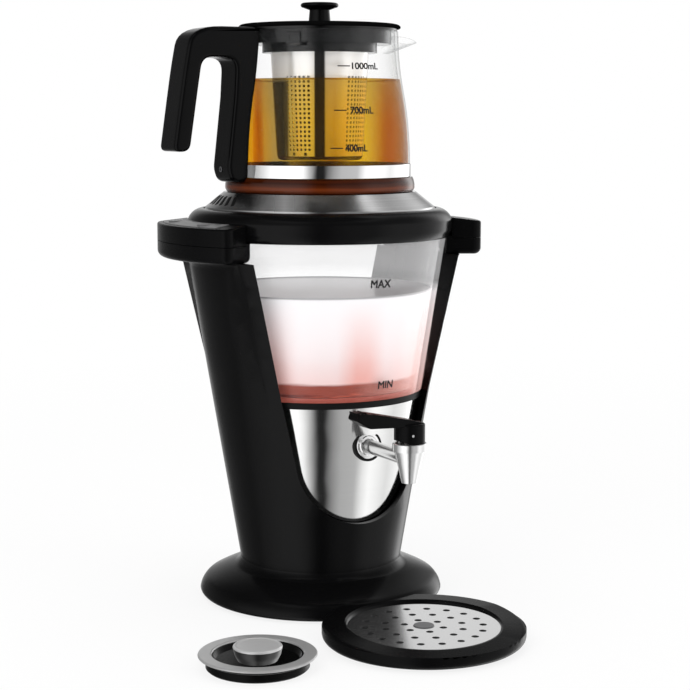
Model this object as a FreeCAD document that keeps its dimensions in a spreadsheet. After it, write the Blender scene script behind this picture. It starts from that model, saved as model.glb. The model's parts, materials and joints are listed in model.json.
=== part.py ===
import FreeCAD, Part
import math
import os
import Sketcher
from FreeCAD import Placement, Rotation, Vector
from types import SimpleNamespace

# An automatic tea maker: a water boiler in a cone-shaped stand, a glass teapot with an infuser
# on its warmer, a lever tap over a drip tray, and a closing cap that stands beside it.
# Millimetres. Origin at the centre of the foot, on the surface it stands on. The tap points
# to -Y, the two carrying ears to -X and +X, and +Z is up.

driving = {
    # fits between pieces, and how far a cutting tool runs past what it cuts
    "seat_gap": 0.2,
    "slip_gap": 0.4,
    "running_gap": 0.05,
    "cut_over": 1.0,
    # foot and shell of the stand
    "floor_gap": 1.5,
    "foot_radius": 86.5,
    "foot_edge_inset": 2.0,
    "foot_bulge_height": 4.5,
    "foot_bulge_round": 4.5,
    "foot_lip_inset": 5.2,
    "foot_lip_height": 13.3,
    "foot_lip_round": 14.0,
    "foot_dome_rise": 8.1,
    "foot_dome_round": 117.0,
    "foot_neck_flare": 5.1,
    "foot_neck_rise": 6.1,
    "foot_neck_round": 9.0,
    "foot_wall": 3.2,
    "bore_low_height": 62.0,
    "bore_low_radius": 59.0,
    "bore_top_radius": 86.9,
    "shell_low_wall": 4.115,
    "shell_top_wall": 6.2,
    "shell_drop": 17.0,
    "shell_flare": 5.0,
    "shell_flare_drop": 6.0,
    "shell_flare_round": 8.0,
    # the two windows of the shell
    "window_low_height": 62.0,
    "window_corner_radius": 47.0,
    "window_lean_angle": 13.3,
    "bead_start_height": 150.0,
    "bead_width": 6.0,
    "bead_rise": 4.4,
    "bead_root": 1.0,
    # ears
    "ear_depth": 20.7,
    "ear_step": 2.0,
    "ear_sweep_angle": 60.0,
    "ear_lower_thickness": 11.3,
    "ear_upper_thickness": 12.0,
    "ear_top_slope": 2.5,
    "ear_split_gap": 0.4,
    "ear_corner": 6.0,
    "ear_under_round": 4.5,
    "ear_top_round": 1.6,
    "ear_screw_angle": 19.0,
    "ear_screw_recess": 1.0,
    "ear_thread_depth": 7.0,
    "control_offset": 10.0,
    "control_spread_angle": 13.0,
    "control_inlay_thickness": 0.9,
    "control_inlay_set": 0.63,
    "control_inlay_width": 13.0,
    "control_inlay_angle": 46.0,
    "button_radius": 4.4,
    "button_rise": 0.9,
    "button_edge": 0.6,
    "button_travel": 1.2,
    "board_thickness": 1.6,
    "button_board_width": 10.0,
    "button_board_angle": 28.0,
    "button_board_play": 0.5,
    "button_room_height": 5.0,
    "switch_side": 5.0,
    "switch_height": 1.2,
    # base
    "base_inset": 7.5,
    "base_thickness": 2.0,
    "rubber_foot_radius": 7.0,
    "rubber_foot_inset": 9.0,
    "screw_radius": 1.5,
    "screw_head_radius": 2.8,
    "screw_head_height": 1.2,
    "base_screw_length": 9.0,
    "base_screw_angle": 22.0,
    "base_boss_radius": 3.6,
    "base_boss_root": 4.0,
    "gland_height": 32.0,
    "gland_radius": 4.4,
    "gland_flange_width": 2.2,
    "gland_flange_bevel": 1.0,
    "gland_wall": 1.6,
    "gland_inside": 4.0,
    "gland_seat_inside": 2.2,
    "gland_seat_outside": 1.4,
    "gland_outside": 4.0,
    # water vessel
    "steel_gap": 1.2,
    "steel_wall": 1.0,
    "steel_floor_height": 40.0,
    "steel_corner": 6.0,
    "steel_corner_round": 6.5,
    "steel_rim_height": 144.0,
    "steel_flange_width": 7.0,
    "glass_gap": 0.6,
    "glass_wall": 3.5,
    "glass_top_height": 260.0,
    "gasket_floor": 2.0,
    "gasket_lip_height": 2.5,
    "gasket_lip": 0.5,
    "gasket_overlap": 2.0,
    "light_width": 8.45,
    "light_height": 5.0,
    "light_wall": 1.4,
    "light_board": 0.8,
    "support_radius": 45.0,
    "support_wall": 2.0,
    "lead_drop": 8.0,
    "heater_play": 1.0,
    "heater_height": 8.0,
    "thermostat_radius": 9.0,
    "thermostat_height": 9.0,
    "board_length": 56.0,
    "board_width": 44.0,
    "board_standoff": 6.0,
    "board_post_radius": 3.0,
    "board_post_inset": 5.0,
    "relay_length": 18.0,
    "relay_width": 15.0,
    "relay_height": 9.0,
    "chip_length": 14.0,
    "chip_width": 8.0,
    "chip_height": 3.0,
    # collar and warmer
    "collar_overlap": 4.0,
    "collar_wall": 3.68,
    "collar_belt_rise": 6.0,
    "collar_belt_round": 12.0,
    "collar_crown_drop": 8.0,
    "collar_crown_round": 11.5,
    "collar_crown_width": 11.0,
    "collar_rim_rise": 4.0,
    "collar_seat_rise": 12.0,
    "collar_seat_width": 5.6,
    "collar_seat_thickness": 3.0,
    "collar_lip": 0.9,
    "collar_gasket_thickness": 1.5,
    "warmer_play": 0.6,
    "warmer_edge_width": 1.0,
    "warmer_edge_height": 5.0,
    "warmer_edge_drop": 1.6,
    "warmer_edge_round": 2.0,
    "warmer_slope_rise": 10.3,
    "warmer_margin": 0.9,
    "warmer_sheet": 1.0,
    "filling_radius": 33.0,
    "vent_width": 1.3,
    "vent_length": 6.5,
    "vent_step_width": 3.4,
    "vent_lean_angle": 32.0,
    "vent_depth": 12.0,
    "vent_tilt_angle": 40.0,
    # tap
    "tap_height": 117.0,
    "tap_reach": 121.0,
    "pipe_radius": 4.75,
    "pipe_bore": 3.2,
    "tap_flange_radius": 8.5,
    "tap_flange_thickness": 2.0,
    "tap_flange_edge": 0.6,
    "tap_gasket_radius": 9.9,
    "tap_gasket_stand": 2.92,
    "tap_nut_radius": 8.0,
    "tap_nut_depth": 6.28,
    "tap_thread_end": 1.0,
    "nozzle_head_rise": 6.2,
    "nozzle_length": 21.4,
    "nozzle_top_radius": 9.1,
    "nozzle_low_radius": 5.05,
    "nozzle_wall": 1.2,
    "valve_seat_rise": 8.5,
    "valve_seat_thickness": 1.8,
    "valve_seat_bore": 2.8,
    "bonnet_rim": 2.1,
    "bonnet_height": 5.2,
    "bonnet_edge": 0.6,
    "bonnet_neck": 1.0,
    "stem_radius": 1.2,
    "stem_head_radius": 2.2,
    "stem_head_rise": 1.8,
    "stem_head_thickness": 1.0,
    "plug_overlap": 0.8,
    "plug_height": 2.5,
    "plug_rest": 0.1,
    "spring_play": 0.8,
    "spring_wire": 0.35,
    "spring_turn_count": 5.0,
    "lever_pin_offset": 3.0,
    "lever_pin_rise": 6.0,
    "lever_pin_radius": 0.9,
    "lever_pin_length": 19.38,
    "lever_head_inset": 1.0,
    "lever_head_gap": 0.3,
    "lever_head_height": 12.7,
    "lever_head_edge": 1.2,
    "lever_relief": 4.8,
    "lever_cavity": 5.4,
    "lever_roof": 1.6,
    "lever_reach": 43.0,
    "lever_pad_rise": 10.1,
    "lever_pad_length": 10.0,
    "lever_pad_thickness": 4.5,
    "lever_pad_round": 1.8,
    "lever_tip_round": 1.5,
    "lever_under_round": 5.0,
    "lever_edge_round": 1.0,
    "lever_arm_rise": 2.4,
    "lever_arm_width": 13.0,
    "lever_tooth": 1.0,
    "lug_thickness": 2.4,
    "lug_length": 5.0,
    # teapot
    "base_ring_floor": 1.5,
    "base_ring_rim": 3.3,
    "base_ring_height": 8.5,
    "base_ring_width": 11.0,
    "base_ring_under": 1.5,
    "base_ring_belly": 3.4,
    "base_ring_belly_round": 4.0,
    "base_ring_round": 14.0,
    "pot_low_radius": 63.0,
    "pot_low_round": 3.0,
    "pot_foot_depth": 17.5,
    "pot_belly_taper": 4.7,
    "pot_belly_height": 50.5,
    "pot_belly_bow": 265.0,
    "pot_neck_taper": 3.8,
    "pot_neck_height": 40.0,
    "pot_neck_bow": 213.0,
    "pot_wall": 2.2,
    "spout_overhang": 20.5,
    "spout_half_width": 17.0,
    "spout_drop": 7.0,
    "spout_depth": 14.0,
    "spout_root_radius": 6.0,
    "band_gap": 0.5,
    "band_thickness": 0.5,
    "handle_width": 22.0,
    "handle_glass_gap": 0.8,
    "handle_band_reach": 8.0,
    "handle_low_rise": 5.0,
    "handle_top_rise": 1.3,
    "handle_arm_depth": 19.7,
    "handle_foot_depth": 8.4,
    "handle_head_depth": 14.8,
    "handle_reach_low": 37.9,
    "handle_reach_high": 36.5,
    "handle_grip_rise": 21.7,
    "handle_grip_thickness": 9.4,
    "handle_corner": 18.0,
    "handle_inner_corner": 8.0,
    "handle_column_corner": 4.5,
    "handle_foot_corner": 6.0,
    "handle_edge_round": 3.0,
    "handle_pin_rise": 6.5,
    "handle_pin_inset": 5.0,
    "handle_pin_radius": 1.7,
    "bracket_length": 7.8,
    "bracket_thickness": 2.6,
    "bracket_top": 3.8,
    # infuser and lid
    "infuser_flange_inset": 0.7,
    "infuser_flange_thickness": 1.6,
    "infuser_wall_play": 2.7,
    "infuser_wall": 1.8,
    "infuser_step_drop": 8.8,
    "infuser_step_width": 9.8,
    "infuser_collar_depth": 5.9,
    "infuser_lip_height": 3.0,
    "notch_width": 12.0,
    "notch_height": 6.0,
    "basket_inset": 5.8,
    "basket_taper": 4.0,
    "basket_depth": 73.5,
    "basket_corner": 3.0,
    "basket_sheet": 0.6,
    "basket_slot_count": 16.0,
    "basket_slot_width": 1.2,
    "basket_slot_start": 10.0,
    "basket_floor_hole_count": 8.0,
    "basket_floor_hole_radius": 1.2,
    "basket_floor_ring_radius": 16.0,
    "lid_overhang": 1.6,
    "lid_edge": 1.4,
    "lid_edge_round": 1.2,
    "lid_shoulder_width": 3.0,
    "lid_shoulder_round": 3.4,
    "lid_thickness": 3.8,
    "lid_crown_rise": 0.9,
    "lid_crown_round": 500.0,
    "lid_crown_flat": 4.0,
    "lid_plug_drop": 6.0,
    "lid_gasket_width": 3.0,
    "knob_stem_radius": 7.7,
    "knob_stem_height": 10.7,
    "knob_thickness": 3.3,
    "knob_radius": 13.1,
    "knob_edge": 1.6,
    "knob_edge_round": 1.8,
    "knob_spigot_radius": 3.5,
    "lid_screw_head": 1.4,
    # drip tray
    "tray_stand_off": 53.5,
    "tray_radius": 66.7,
    "tray_height": 13.0,
    "tray_bevel": 3.0,
    "tray_edge": 1.5,
    "tray_floor": 2.5,
    "tray_rim_bevel": 1.2,
    "tray_foot_gap": 0.9,
    "grid_radius": 50.0,
    "grid_drop": 3.0,
    "grid_thickness": 1.0,
    "grid_ledge": 2.5,
    "grid_hole_radius": 1.8,
    "grid_ring_width": 13.0,
    "grid_plug_radius": 7.0,
    "grid_plug_lip": 2.0,
    "grid_plug_rise": 0.8,
    # closing cap
    "cap_place_x": -118.0,
    "cap_place_y": -134.0,
    "cap_play": 0.5,
    "cap_overhang": 4.3,
    "cap_ring_width": 8.5,
    "cap_ring_height": 9.5,
    "cap_ring_thickness": 1.6,
    "cap_recess_depth": 3.2,
    "cap_knob_radius": 15.5,
    "cap_knob_rise": 4.9,
    "cap_seal_width": 1.5,
    "cap_edge": 1.0,
    "cap_edge_round": 1.4,
    "cap_lip": 0.7,
}

doc = FreeCAD.newDocument("TeaMaker")
sheet = doc.addObject("Spreadsheet::Sheet", "Sizes")
for row, (alias, value) in enumerate(driving.items(), start=1):
    sheet.set(f"A{row}", alias)
    sheet.set(f"B{row}", str(value))
    sheet.setAlias(f"B{row}", alias)
doc.recompute()


class Size:
    # A number that also knows the sheet formula it comes from.
    def __init__(self, number, formula):
        self.number = float(number)
        self.formula = formula

    def __float__(self):
        return self.number

    def __add__(self, other):
        other = as_size(other)
        return Size(self.number + other.number, f"({self.formula} + {other.formula})")

    def __radd__(self, other):
        return as_size(other) + self

    def __sub__(self, other):
        other = as_size(other)
        return Size(self.number - other.number, f"({self.formula} - {other.formula})")

    def __rsub__(self, other):
        return as_size(other) - self

    def __mul__(self, other):
        other = as_size(other)
        return Size(self.number * other.number, f"({self.formula} * {other.formula})")

    def __rmul__(self, other):
        return as_size(other) * self

    def __truediv__(self, other):
        other = as_size(other)
        return Size(self.number / other.number, f"({self.formula} / {other.formula})")

    def __neg__(self):
        return Size(-self.number, f"(-1 * {self.formula})")


def as_size(value):
    return value if isinstance(value, Size) else Size(value, f"({float(value)!r})")


def turn(name, degrees):
    # Sine, cosine or tangent of an angle in degrees.
    degrees = as_size(degrees)
    number = getattr(math, name)(math.radians(degrees.number))
    return Size(number, f"{name}({degrees.formula} * 1deg)")


def along(height, low_height, low_radius, high_height, high_radius):
    # Radius of a straight cone at a height.
    rise = (high_radius - low_radius) / (high_height - low_height)
    return low_radius + (as_size(height) - low_height) * rise


s = SimpleNamespace(**{alias: Size(value, f"Sizes.{alias}") for alias, value in driving.items()})
pieces = {}

# What stands on, in or round another piece follows from the sizes above.
s.shell_top_height = s.glass_top_height - s.shell_drop
s.shell_top_radius = s.bore_top_radius + s.shell_top_wall
s.foot_lip_radius = s.foot_radius - s.foot_lip_inset
s.foot_neck_height = s.foot_lip_height + s.foot_dome_rise
s.shell_low_height = s.foot_neck_height + s.foot_neck_rise
s.base_radius = s.foot_radius - s.base_inset
s.rubber_foot_place = s.base_radius - s.rubber_foot_inset
s.gland_flange_radius = s.gland_radius + s.gland_flange_width
s.gland_bore_radius = s.gland_radius - s.gland_wall
s.heater_radius = s.support_radius - s.support_wall - s.heater_play
s.glass_low_height = s.steel_rim_height + s.gasket_floor
s.gasket_top_height = s.glass_low_height + s.gasket_lip_height
s.collar_low_height = s.glass_top_height - s.collar_overlap
s.collar_belt_height = s.collar_low_height + s.collar_belt_rise
s.collar_seat_height = s.glass_top_height + s.collar_seat_rise
s.collar_top_height = s.collar_seat_height + s.collar_rim_rise
s.collar_shoulder_height = s.collar_top_height - s.collar_crown_drop
s.warmer_shoulder_height = s.collar_seat_height + s.warmer_edge_height
s.warmer_top_height = s.warmer_shoulder_height + s.warmer_slope_rise
s.ear_split_height = s.shell_top_height + s.ear_lower_thickness
s.ear_outer_height = s.ear_split_height + s.ear_upper_thickness
s.ear_inner_height = s.ear_outer_height + s.ear_top_slope
s.ear_step_radius = s.bore_top_radius + s.ear_step
s.nozzle_top_height = s.tap_height + s.nozzle_head_rise
s.nozzle_low_height = s.nozzle_top_height - s.nozzle_length
s.valve_seat_height = s.nozzle_low_height + s.valve_seat_rise
s.bonnet_radius = s.nozzle_top_radius + s.bonnet_rim
s.bonnet_top_height = s.nozzle_top_height + s.bonnet_height
s.lever_pin_height = s.bonnet_top_height + s.lever_pin_rise
s.lever_head_radius = s.bonnet_radius - s.lever_head_inset
s.lever_head_low = s.bonnet_top_height + s.lever_head_gap
s.lever_head_top = s.lever_head_low + s.lever_head_height
s.lever_pad_height = s.lever_head_top + s.lever_pad_rise
s.stem_head_height = s.lever_pin_height + s.stem_head_rise
s.plug_radius = s.valve_seat_bore + s.plug_overlap
s.spring_radius = s.stem_radius + s.spring_play
s.pot_floor_height = s.warmer_top_height + s.seat_gap + s.base_ring_floor
s.pot_knee_height = s.pot_floor_height + s.pot_foot_depth
s.pot_turn_height = s.pot_knee_height + s.pot_belly_height
s.pot_rim_height = s.pot_turn_height + s.pot_neck_height
s.pot_turn_radius = s.pot_low_radius - s.pot_belly_taper
s.pot_rim_radius = s.pot_turn_radius - s.pot_neck_taper
s.spout_reach = s.pot_rim_radius + s.spout_overhang
s.base_ring_radius = s.pot_low_radius + s.base_ring_rim
s.base_ring_top = s.pot_floor_height + s.base_ring_height
s.base_ring_inner = s.pot_low_radius - s.base_ring_width
s.band_low_height = s.base_ring_top + s.band_gap
s.warmer_top_radius = s.base_ring_radius + s.warmer_margin
s.handle_low_height = s.pot_floor_height + s.handle_low_rise
s.handle_top_height = s.pot_rim_height + s.handle_top_rise
s.handle_arm_under = s.handle_top_height - s.handle_arm_depth
s.handle_column_low = s.base_ring_radius + s.handle_foot_depth
s.handle_column_high = s.pot_rim_radius + s.handle_head_depth
s.handle_grip_low = s.handle_column_low + s.handle_reach_low
s.handle_grip_high = s.handle_column_high + s.handle_reach_high
s.handle_grip_end = s.handle_low_height + s.handle_grip_rise
s.handle_pin_height = s.handle_low_height + s.handle_pin_rise
s.infuser_flange_radius = s.pot_rim_radius - s.infuser_flange_inset
s.infuser_wall_radius = s.pot_rim_radius - s.pot_wall - s.infuser_wall_play
s.infuser_step_height = s.pot_rim_height + s.seat_gap - s.infuser_step_drop
s.infuser_collar_radius = s.infuser_wall_radius - s.infuser_step_width
s.infuser_collar_low = s.infuser_step_height - s.infuser_collar_depth
s.basket_top_radius = s.infuser_collar_radius - s.basket_inset
s.basket_low_radius = s.basket_top_radius - s.basket_taper
s.basket_lip_radius = s.infuser_collar_radius - s.infuser_wall - s.slip_gap
s.basket_low_height = s.infuser_collar_low - s.basket_depth
s.lid_low_height = s.pot_rim_height + s.seat_gap + s.infuser_flange_thickness + s.seat_gap
s.lid_radius = s.pot_rim_radius + s.lid_overhang
s.lid_crown_height = s.lid_low_height + s.lid_thickness
s.knob_low_height = s.lid_crown_height + s.knob_stem_height
s.knob_top_height = s.knob_low_height + s.knob_thickness
s.tray_place = s.foot_radius + s.tray_stand_off
s.grid_top_height = s.tray_height - s.grid_drop
s.cap_skirt_radius = s.filling_radius - s.cap_play
s.cap_radius = s.filling_radius + s.cap_overhang
s.cap_inner_radius = s.cap_radius - s.cap_ring_width
s.cap_seal_radius = s.cap_skirt_radius + s.cap_seal_width
s.cap_knob_height = s.cap_ring_height + s.cap_knob_rise


def bind(thing, name, size):
    thing.setExpression(name, as_size(size).formula)


def place(thing, x=0, y=0, z=0, axis=Vector(0, 0, 1), angle=0):
    # Puts an object where the sizes say, turned about an axis through its own origin.
    thing.Placement = Placement(Vector(float(x), float(y), float(z)), Rotation(axis, angle))
    for name, size in zip("xyz", (x, y, z)):
        bind(thing, f"Placement.Base.{name}", size)


def plane_of(body, role):
    return next(feature for feature in body.Origin.OriginFeatures if feature.Role == role)


def hold(sketch, element, position, x, y):
    # Holds one point of a sketch at its two sizes, measured from the sketch's origin.
    for kind, axis, size in (("DistanceX", -2, as_size(x)), ("DistanceY", -1, as_size(y))):
        if size.number == 0:
            sketch.addConstraint(Sketcher.Constraint("PointOnObject", element, position, axis))
        else:
            number = sketch.addConstraint(Sketcher.Constraint(kind, -1, 1, element, position, size.number))
            bind(sketch, f"Constraints[{number}]", size)


def arc_between(start, end, radius):
    # The short arc from start to end; a positive radius bulges to the right of the way along.
    middle = (start + end) * 0.5
    half = (end - start).Length / 2
    side = Vector(-(end - start).y, (end - start).x, 0).normalize()
    offset = math.sqrt(max(radius * radius - half * half, 0.0))
    centre = middle + side * (offset if radius > 0 else -offset)
    first, last = (start, end) if radius > 0 else (end, start)
    angles = [math.atan2(point.y - centre.y, point.x - centre.x) for point in (first, last)]
    circle = Part.Circle(centre, Vector(0, 0, 1), abs(radius))
    return Part.ArcOfCircle(circle, angles[0], angles[1])


def draw_outline(sketch, corners):
    # A closed outline. Each corner is (across, up), or (across, up, radius) where the run
    # that arrives at the corner is an arc.
    points = [Vector(float(corner[0]), float(corner[1]), 0) for corner in corners]
    ends = []
    for index, corner in enumerate(corners):
        start, end = points[index - 1], points[index]
        if len(corner) == 3:
            element = sketch.addGeometry(arc_between(start, end, float(corner[2])), False)
            positions = (1, 2) if float(corner[2]) > 0 else (2, 1)
            number = sketch.addConstraint(Sketcher.Constraint("Radius", element, abs(float(corner[2]))))
            radius = corner[2] if float(corner[2]) > 0 else -as_size(corner[2])
            bind(sketch, f"Constraints[{number}]", radius)
        else:
            element = sketch.addGeometry(Part.LineSegment(start, end), False)
            positions = (1, 2)
        ends.append((element, *positions))
    for index, corner in enumerate(corners):
        arriving, leaving = ends[index], ends[(index + 1) % len(ends)]
        joint = Sketcher.Constraint("Coincident", arriving[0], arriving[2], leaving[0], leaving[1])
        sketch.addConstraint(joint)
        hold(sketch, arriving[0], arriving[2], corner[0], corner[1])


def draw_circle(sketch, x, y, radius):
    circle = Part.Circle(Vector(float(x), float(y), 0), Vector(0, 0, 1), float(radius))
    element = sketch.addGeometry(circle, False)
    number = sketch.addConstraint(Sketcher.Constraint("Radius", element, float(radius)))
    bind(sketch, f"Constraints[{number}]", radius)
    if float(x) == 0 and float(y) == 0:
        sketch.addConstraint(Sketcher.Constraint("Coincident", element, 3, -1, 1))
    else:
        hold(sketch, element, 3, x, y)


def new_body(name):
    body = doc.addObject("PartDesign::Body", name)
    body.Label = name
    return body


def new_sketch(body, name, role, loops, level=0):
    # loops holds outlines, and circles as (x, y, radius) in a dictionary's "circle".
    sketch = body.newObject("Sketcher::SketchObject", f"{body.Name}_{name}")
    sketch.AttachmentSupport = [(plane_of(body, role), "")]
    sketch.MapMode = "FlatFace"
    if isinstance(level, Size) or level:
        bind(sketch, "AttachmentOffset.Base.z", level)
    for loop in loops:
        if isinstance(loop, dict):
            draw_circle(sketch, *loop["circle"])
        else:
            draw_outline(sketch, loop)
    return sketch


def turned(name, corners, sweep=None):
    # A piece turned about its own Z axis from an outline of (radius, height) corners.
    body = new_body(name)
    sketch = new_sketch(body, "profile", "XZ_Plane", [corners])
    feature = body.newObject("PartDesign::Revolution", f"{name}_turn")
    feature.Profile = sketch
    feature.ReferenceAxis = (sketch, ["V_Axis"])
    if sweep is None:
        feature.Angle = 360
    else:
        feature.Midplane = True
        bind(feature, "Angle", sweep)
    return body


def padded(name, role, loops, length, level=0, middle=False):
    # A piece extruded from flat loops, upwards on the XY plane or evenly both ways.
    body = new_body(name)
    sketch = new_sketch(body, "profile", role, loops, level)
    feature = body.newObject("PartDesign::Pad", f"{name}_pad")
    feature.Profile = sketch
    bind(feature, "Length", length)
    feature.Midplane = middle
    return body


def pocketed(body, name, role, loops, depth=None, level=0):
    # Cuts loops right through a body, or down by a depth from a level.
    sketch = new_sketch(body, name, role, loops, level)
    feature = body.newObject("PartDesign::Pocket", f"{body.Name}_{name}_pocket")
    feature.Profile = sketch
    if depth is None:
        feature.Type = "ThroughAll"
        feature.Midplane = True
    else:
        feature.Type = "Length"
        bind(feature, "Length", depth)
    return feature


def boolean(kind, name, base, *tools):
    # Part's Cut, Common or Fuse of whole objects.
    if kind == "MultiFuse":
        result = doc.addObject("Part::MultiFuse", name)
        result.Shapes = [base, *tools]
        result.Label = name
        return result
    for index, tool in enumerate(tools):
        last = index == len(tools) - 1
        result = doc.addObject(f"Part::{kind}", name if last else f"{name}_{kind}{index}")
        result.Base = base
        result.Tool = tool
        base = result
    result.Label = name
    return result


def cylinder(name, radius, height, x=0, y=0, z=0, axis=Vector(0, 0, 1), angle=0):
    thing = doc.addObject("Part::Cylinder", name)
    bind(thing, "Radius", radius)
    bind(thing, "Height", height)
    place(thing, x, y, z, axis, angle)
    return thing


def block(name, length, width, height, x, y, z):
    # A box centred on x and y that stands on z.
    thing = doc.addObject("Part::Box", name)
    bind(thing, "Length", length)
    bind(thing, "Width", width)
    bind(thing, "Height", height)
    place(thing, x - as_size(length) / 2, y - as_size(width) / 2, z)
    return thing


def cone(name, low_radius, high_radius, height, z):
    thing = doc.addObject("Part::Cone", name)
    bind(thing, "Radius1", low_radius)
    bind(thing, "Radius2", high_radius)
    bind(thing, "Height", height)
    place(thing, 0, 0, z)
    return thing


def group(name, members):
    # Identical fasteners or pads that share one node as separate solids.
    thing = doc.addObject("Part::Compound", name)
    thing.Links = members
    thing.Label = name
    return thing


def rounded(body, name, radius, wanted):
    # Rounds the edges of a body that wanted(edge) picks.
    doc.recompute()
    base = body.Tip
    edges = [f"Edge{i}" for i, edge in enumerate(base.Shape.Edges, start=1) if wanted(edge)]
    feature = body.newObject("PartDesign::Fillet", f"{body.Name}_{name}")
    feature.Base = (base, edges)
    bind(feature, "Radius", radius)
    return body


def corner_at(x, z):
    # Picks the edge along Y that passes through a corner of a side outline.
    def wanted(edge):
        box = edge.BoundBox
        flat = box.XLength < 0.01 and box.ZLength < 0.01
        return flat and math.hypot(box.Center.x - float(x), box.Center.z - float(z)) < 0.05
    return wanted


def keep(thing, name=None):
    name = name or thing.Label
    thing.Label = name
    pieces[name] = thing
    return thing


# The four turns of the rubber feet about the foot's centre.
corner_turns = (45, 135, 225, 315)


def polar(radius, degrees):
    return (turn("cos", degrees) * radius, turn("sin", degrees) * radius)


# Shared lines: the shell's outer cone, and the bore that the vessel stands in.
def shell_outside(height):
    low_radius = s.bore_low_radius + s.shell_low_wall
    return along(height, s.bore_low_height, low_radius, s.shell_top_height, s.shell_top_radius)


def shell_bore(height):
    return along(height, s.bore_low_height, s.bore_low_radius, s.shell_top_height, s.bore_top_radius)


def steel_outside(height):
    return shell_bore(height) - s.steel_gap


def glass_outside(height):
    return shell_bore(height) - s.glass_gap


# The radii that these lines give to what stands against them.
s.shell_low_radius = shell_outside(s.shell_low_height)
s.foot_neck_radius = s.shell_low_radius + s.foot_neck_flare
s.light_outer = glass_outside(s.glass_low_height) - s.glass_wall - s.slip_gap
s.light_radius = s.light_outer - s.light_width
s.collar_radius = glass_outside(s.glass_top_height) + s.collar_wall
s.collar_inner_radius = s.collar_radius - s.collar_crown_width
s.collar_seat_radius = s.collar_inner_radius - s.collar_seat_width
s.warmer_edge_radius = s.collar_inner_radius - s.warmer_play
s.warmer_shoulder_radius = s.warmer_edge_radius - s.warmer_edge_width
s.ear_inner_radius = s.collar_radius + s.slip_gap
s.ear_radius = s.ear_inner_radius + s.ear_depth
s.control_radius = s.ear_inner_radius + s.control_offset
s.tap_gasket_face = steel_outside(s.tap_height) + s.tap_gasket_stand
s.tap_nut_face = steel_outside(s.tap_height) - s.tap_nut_depth


def window(spread, top):
    # The U of a window, spread evenly outwards, from its low arc to a top height.
    radius = s.window_corner_radius + spread
    foot_x = turn("cos", s.window_lean_angle) * radius
    foot_z = s.window_low_height + s.window_corner_radius - turn("sin", s.window_lean_angle) * radius
    top_x = foot_x + (as_size(top) - foot_z) * turn("tan", s.window_lean_angle)
    return [(top_x, top), (-top_x, top), (-foot_x, foot_z), (foot_x, foot_z, radius)]


def make_stand():
    base_top = s.floor_gap + s.base_thickness
    inner_neck = s.foot_neck_height - s.foot_wall
    flare_low = s.shell_top_height - s.shell_flare_drop
    outline = [
        (s.foot_radius - s.foot_edge_inset, s.floor_gap),
        (s.foot_radius, s.foot_bulge_height, s.foot_bulge_round),
        (s.foot_lip_radius, s.foot_lip_height, s.foot_lip_round),
        (s.foot_neck_radius, s.foot_neck_height, s.foot_dome_round),
        (s.shell_low_radius, s.shell_low_height, -s.foot_neck_round),
        (shell_outside(flare_low), flare_low),
        (s.shell_top_radius + s.shell_flare, s.shell_top_height, -s.shell_flare_round),
        (s.bore_top_radius, s.shell_top_height),
        (s.bore_low_radius, s.bore_low_height),
        (s.shell_low_radius - s.foot_wall, inner_neck + s.foot_wall),
        (s.foot_neck_radius - s.foot_wall / 2, inner_neck),
        (s.foot_lip_radius - s.foot_wall / 2, s.foot_lip_height - s.foot_wall),
        (s.foot_radius - s.foot_edge_inset - s.foot_wall / 2, s.floor_gap),
    ]
    shell = turned("shell_turned", outline)
    top = s.shell_top_height + s.shell_flare
    pocketed(shell, "windows", "XZ_Plane", [window(0, top)])
    # The raised bead along the arms' edges, from nothing to its full rise under the ears.
    grown = shell_outside(s.shell_top_height) + s.bead_rise
    ring = turned("bead_ring", [
        (shell_bore(s.bead_start_height) + s.bead_root, s.bead_start_height),
        (shell_outside(s.bead_start_height), s.bead_start_height),
        (grown, s.shell_top_height),
        (s.bore_top_radius + s.bead_root, s.shell_top_height),
    ])
    pocketed(ring, "windows", "XZ_Plane", [window(0, top)])
    frame = padded("bead_frame", "XZ_Plane", [window(s.bead_width, top)], s.foot_radius * 3, middle=True)
    bead = boolean("Common", "bead", ring, frame)
    bosses = []
    boss_top = s.foot_lip_height - s.foot_wall + s.base_boss_root
    for index, angle in enumerate(corner_turns):
        x, y = polar(s.rubber_foot_place, angle + s.base_screw_angle)
        boss = cylinder(f"base_boss{index}", s.base_boss_radius, boss_top - base_top, x, y, base_top)
        hole = cylinder(f"base_boss_hole{index}", s.screw_radius + s.running_gap,
                        s.base_screw_length, x, y, base_top - s.running_gap)
        bosses.append(boolean("Cut", f"bored_boss{index}", boss, hole))
    whole = boolean("MultiFuse", "shell_whole", shell, bead, *bosses)
    gland_hole = cylinder("gland_hole", s.gland_radius + s.seat_gap, s.foot_radius,
                          0, 0, s.gland_height, Vector(1, 0, 0), -90)
    keep(boolean("Cut", "stand_shell", whole, gland_hole))


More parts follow.
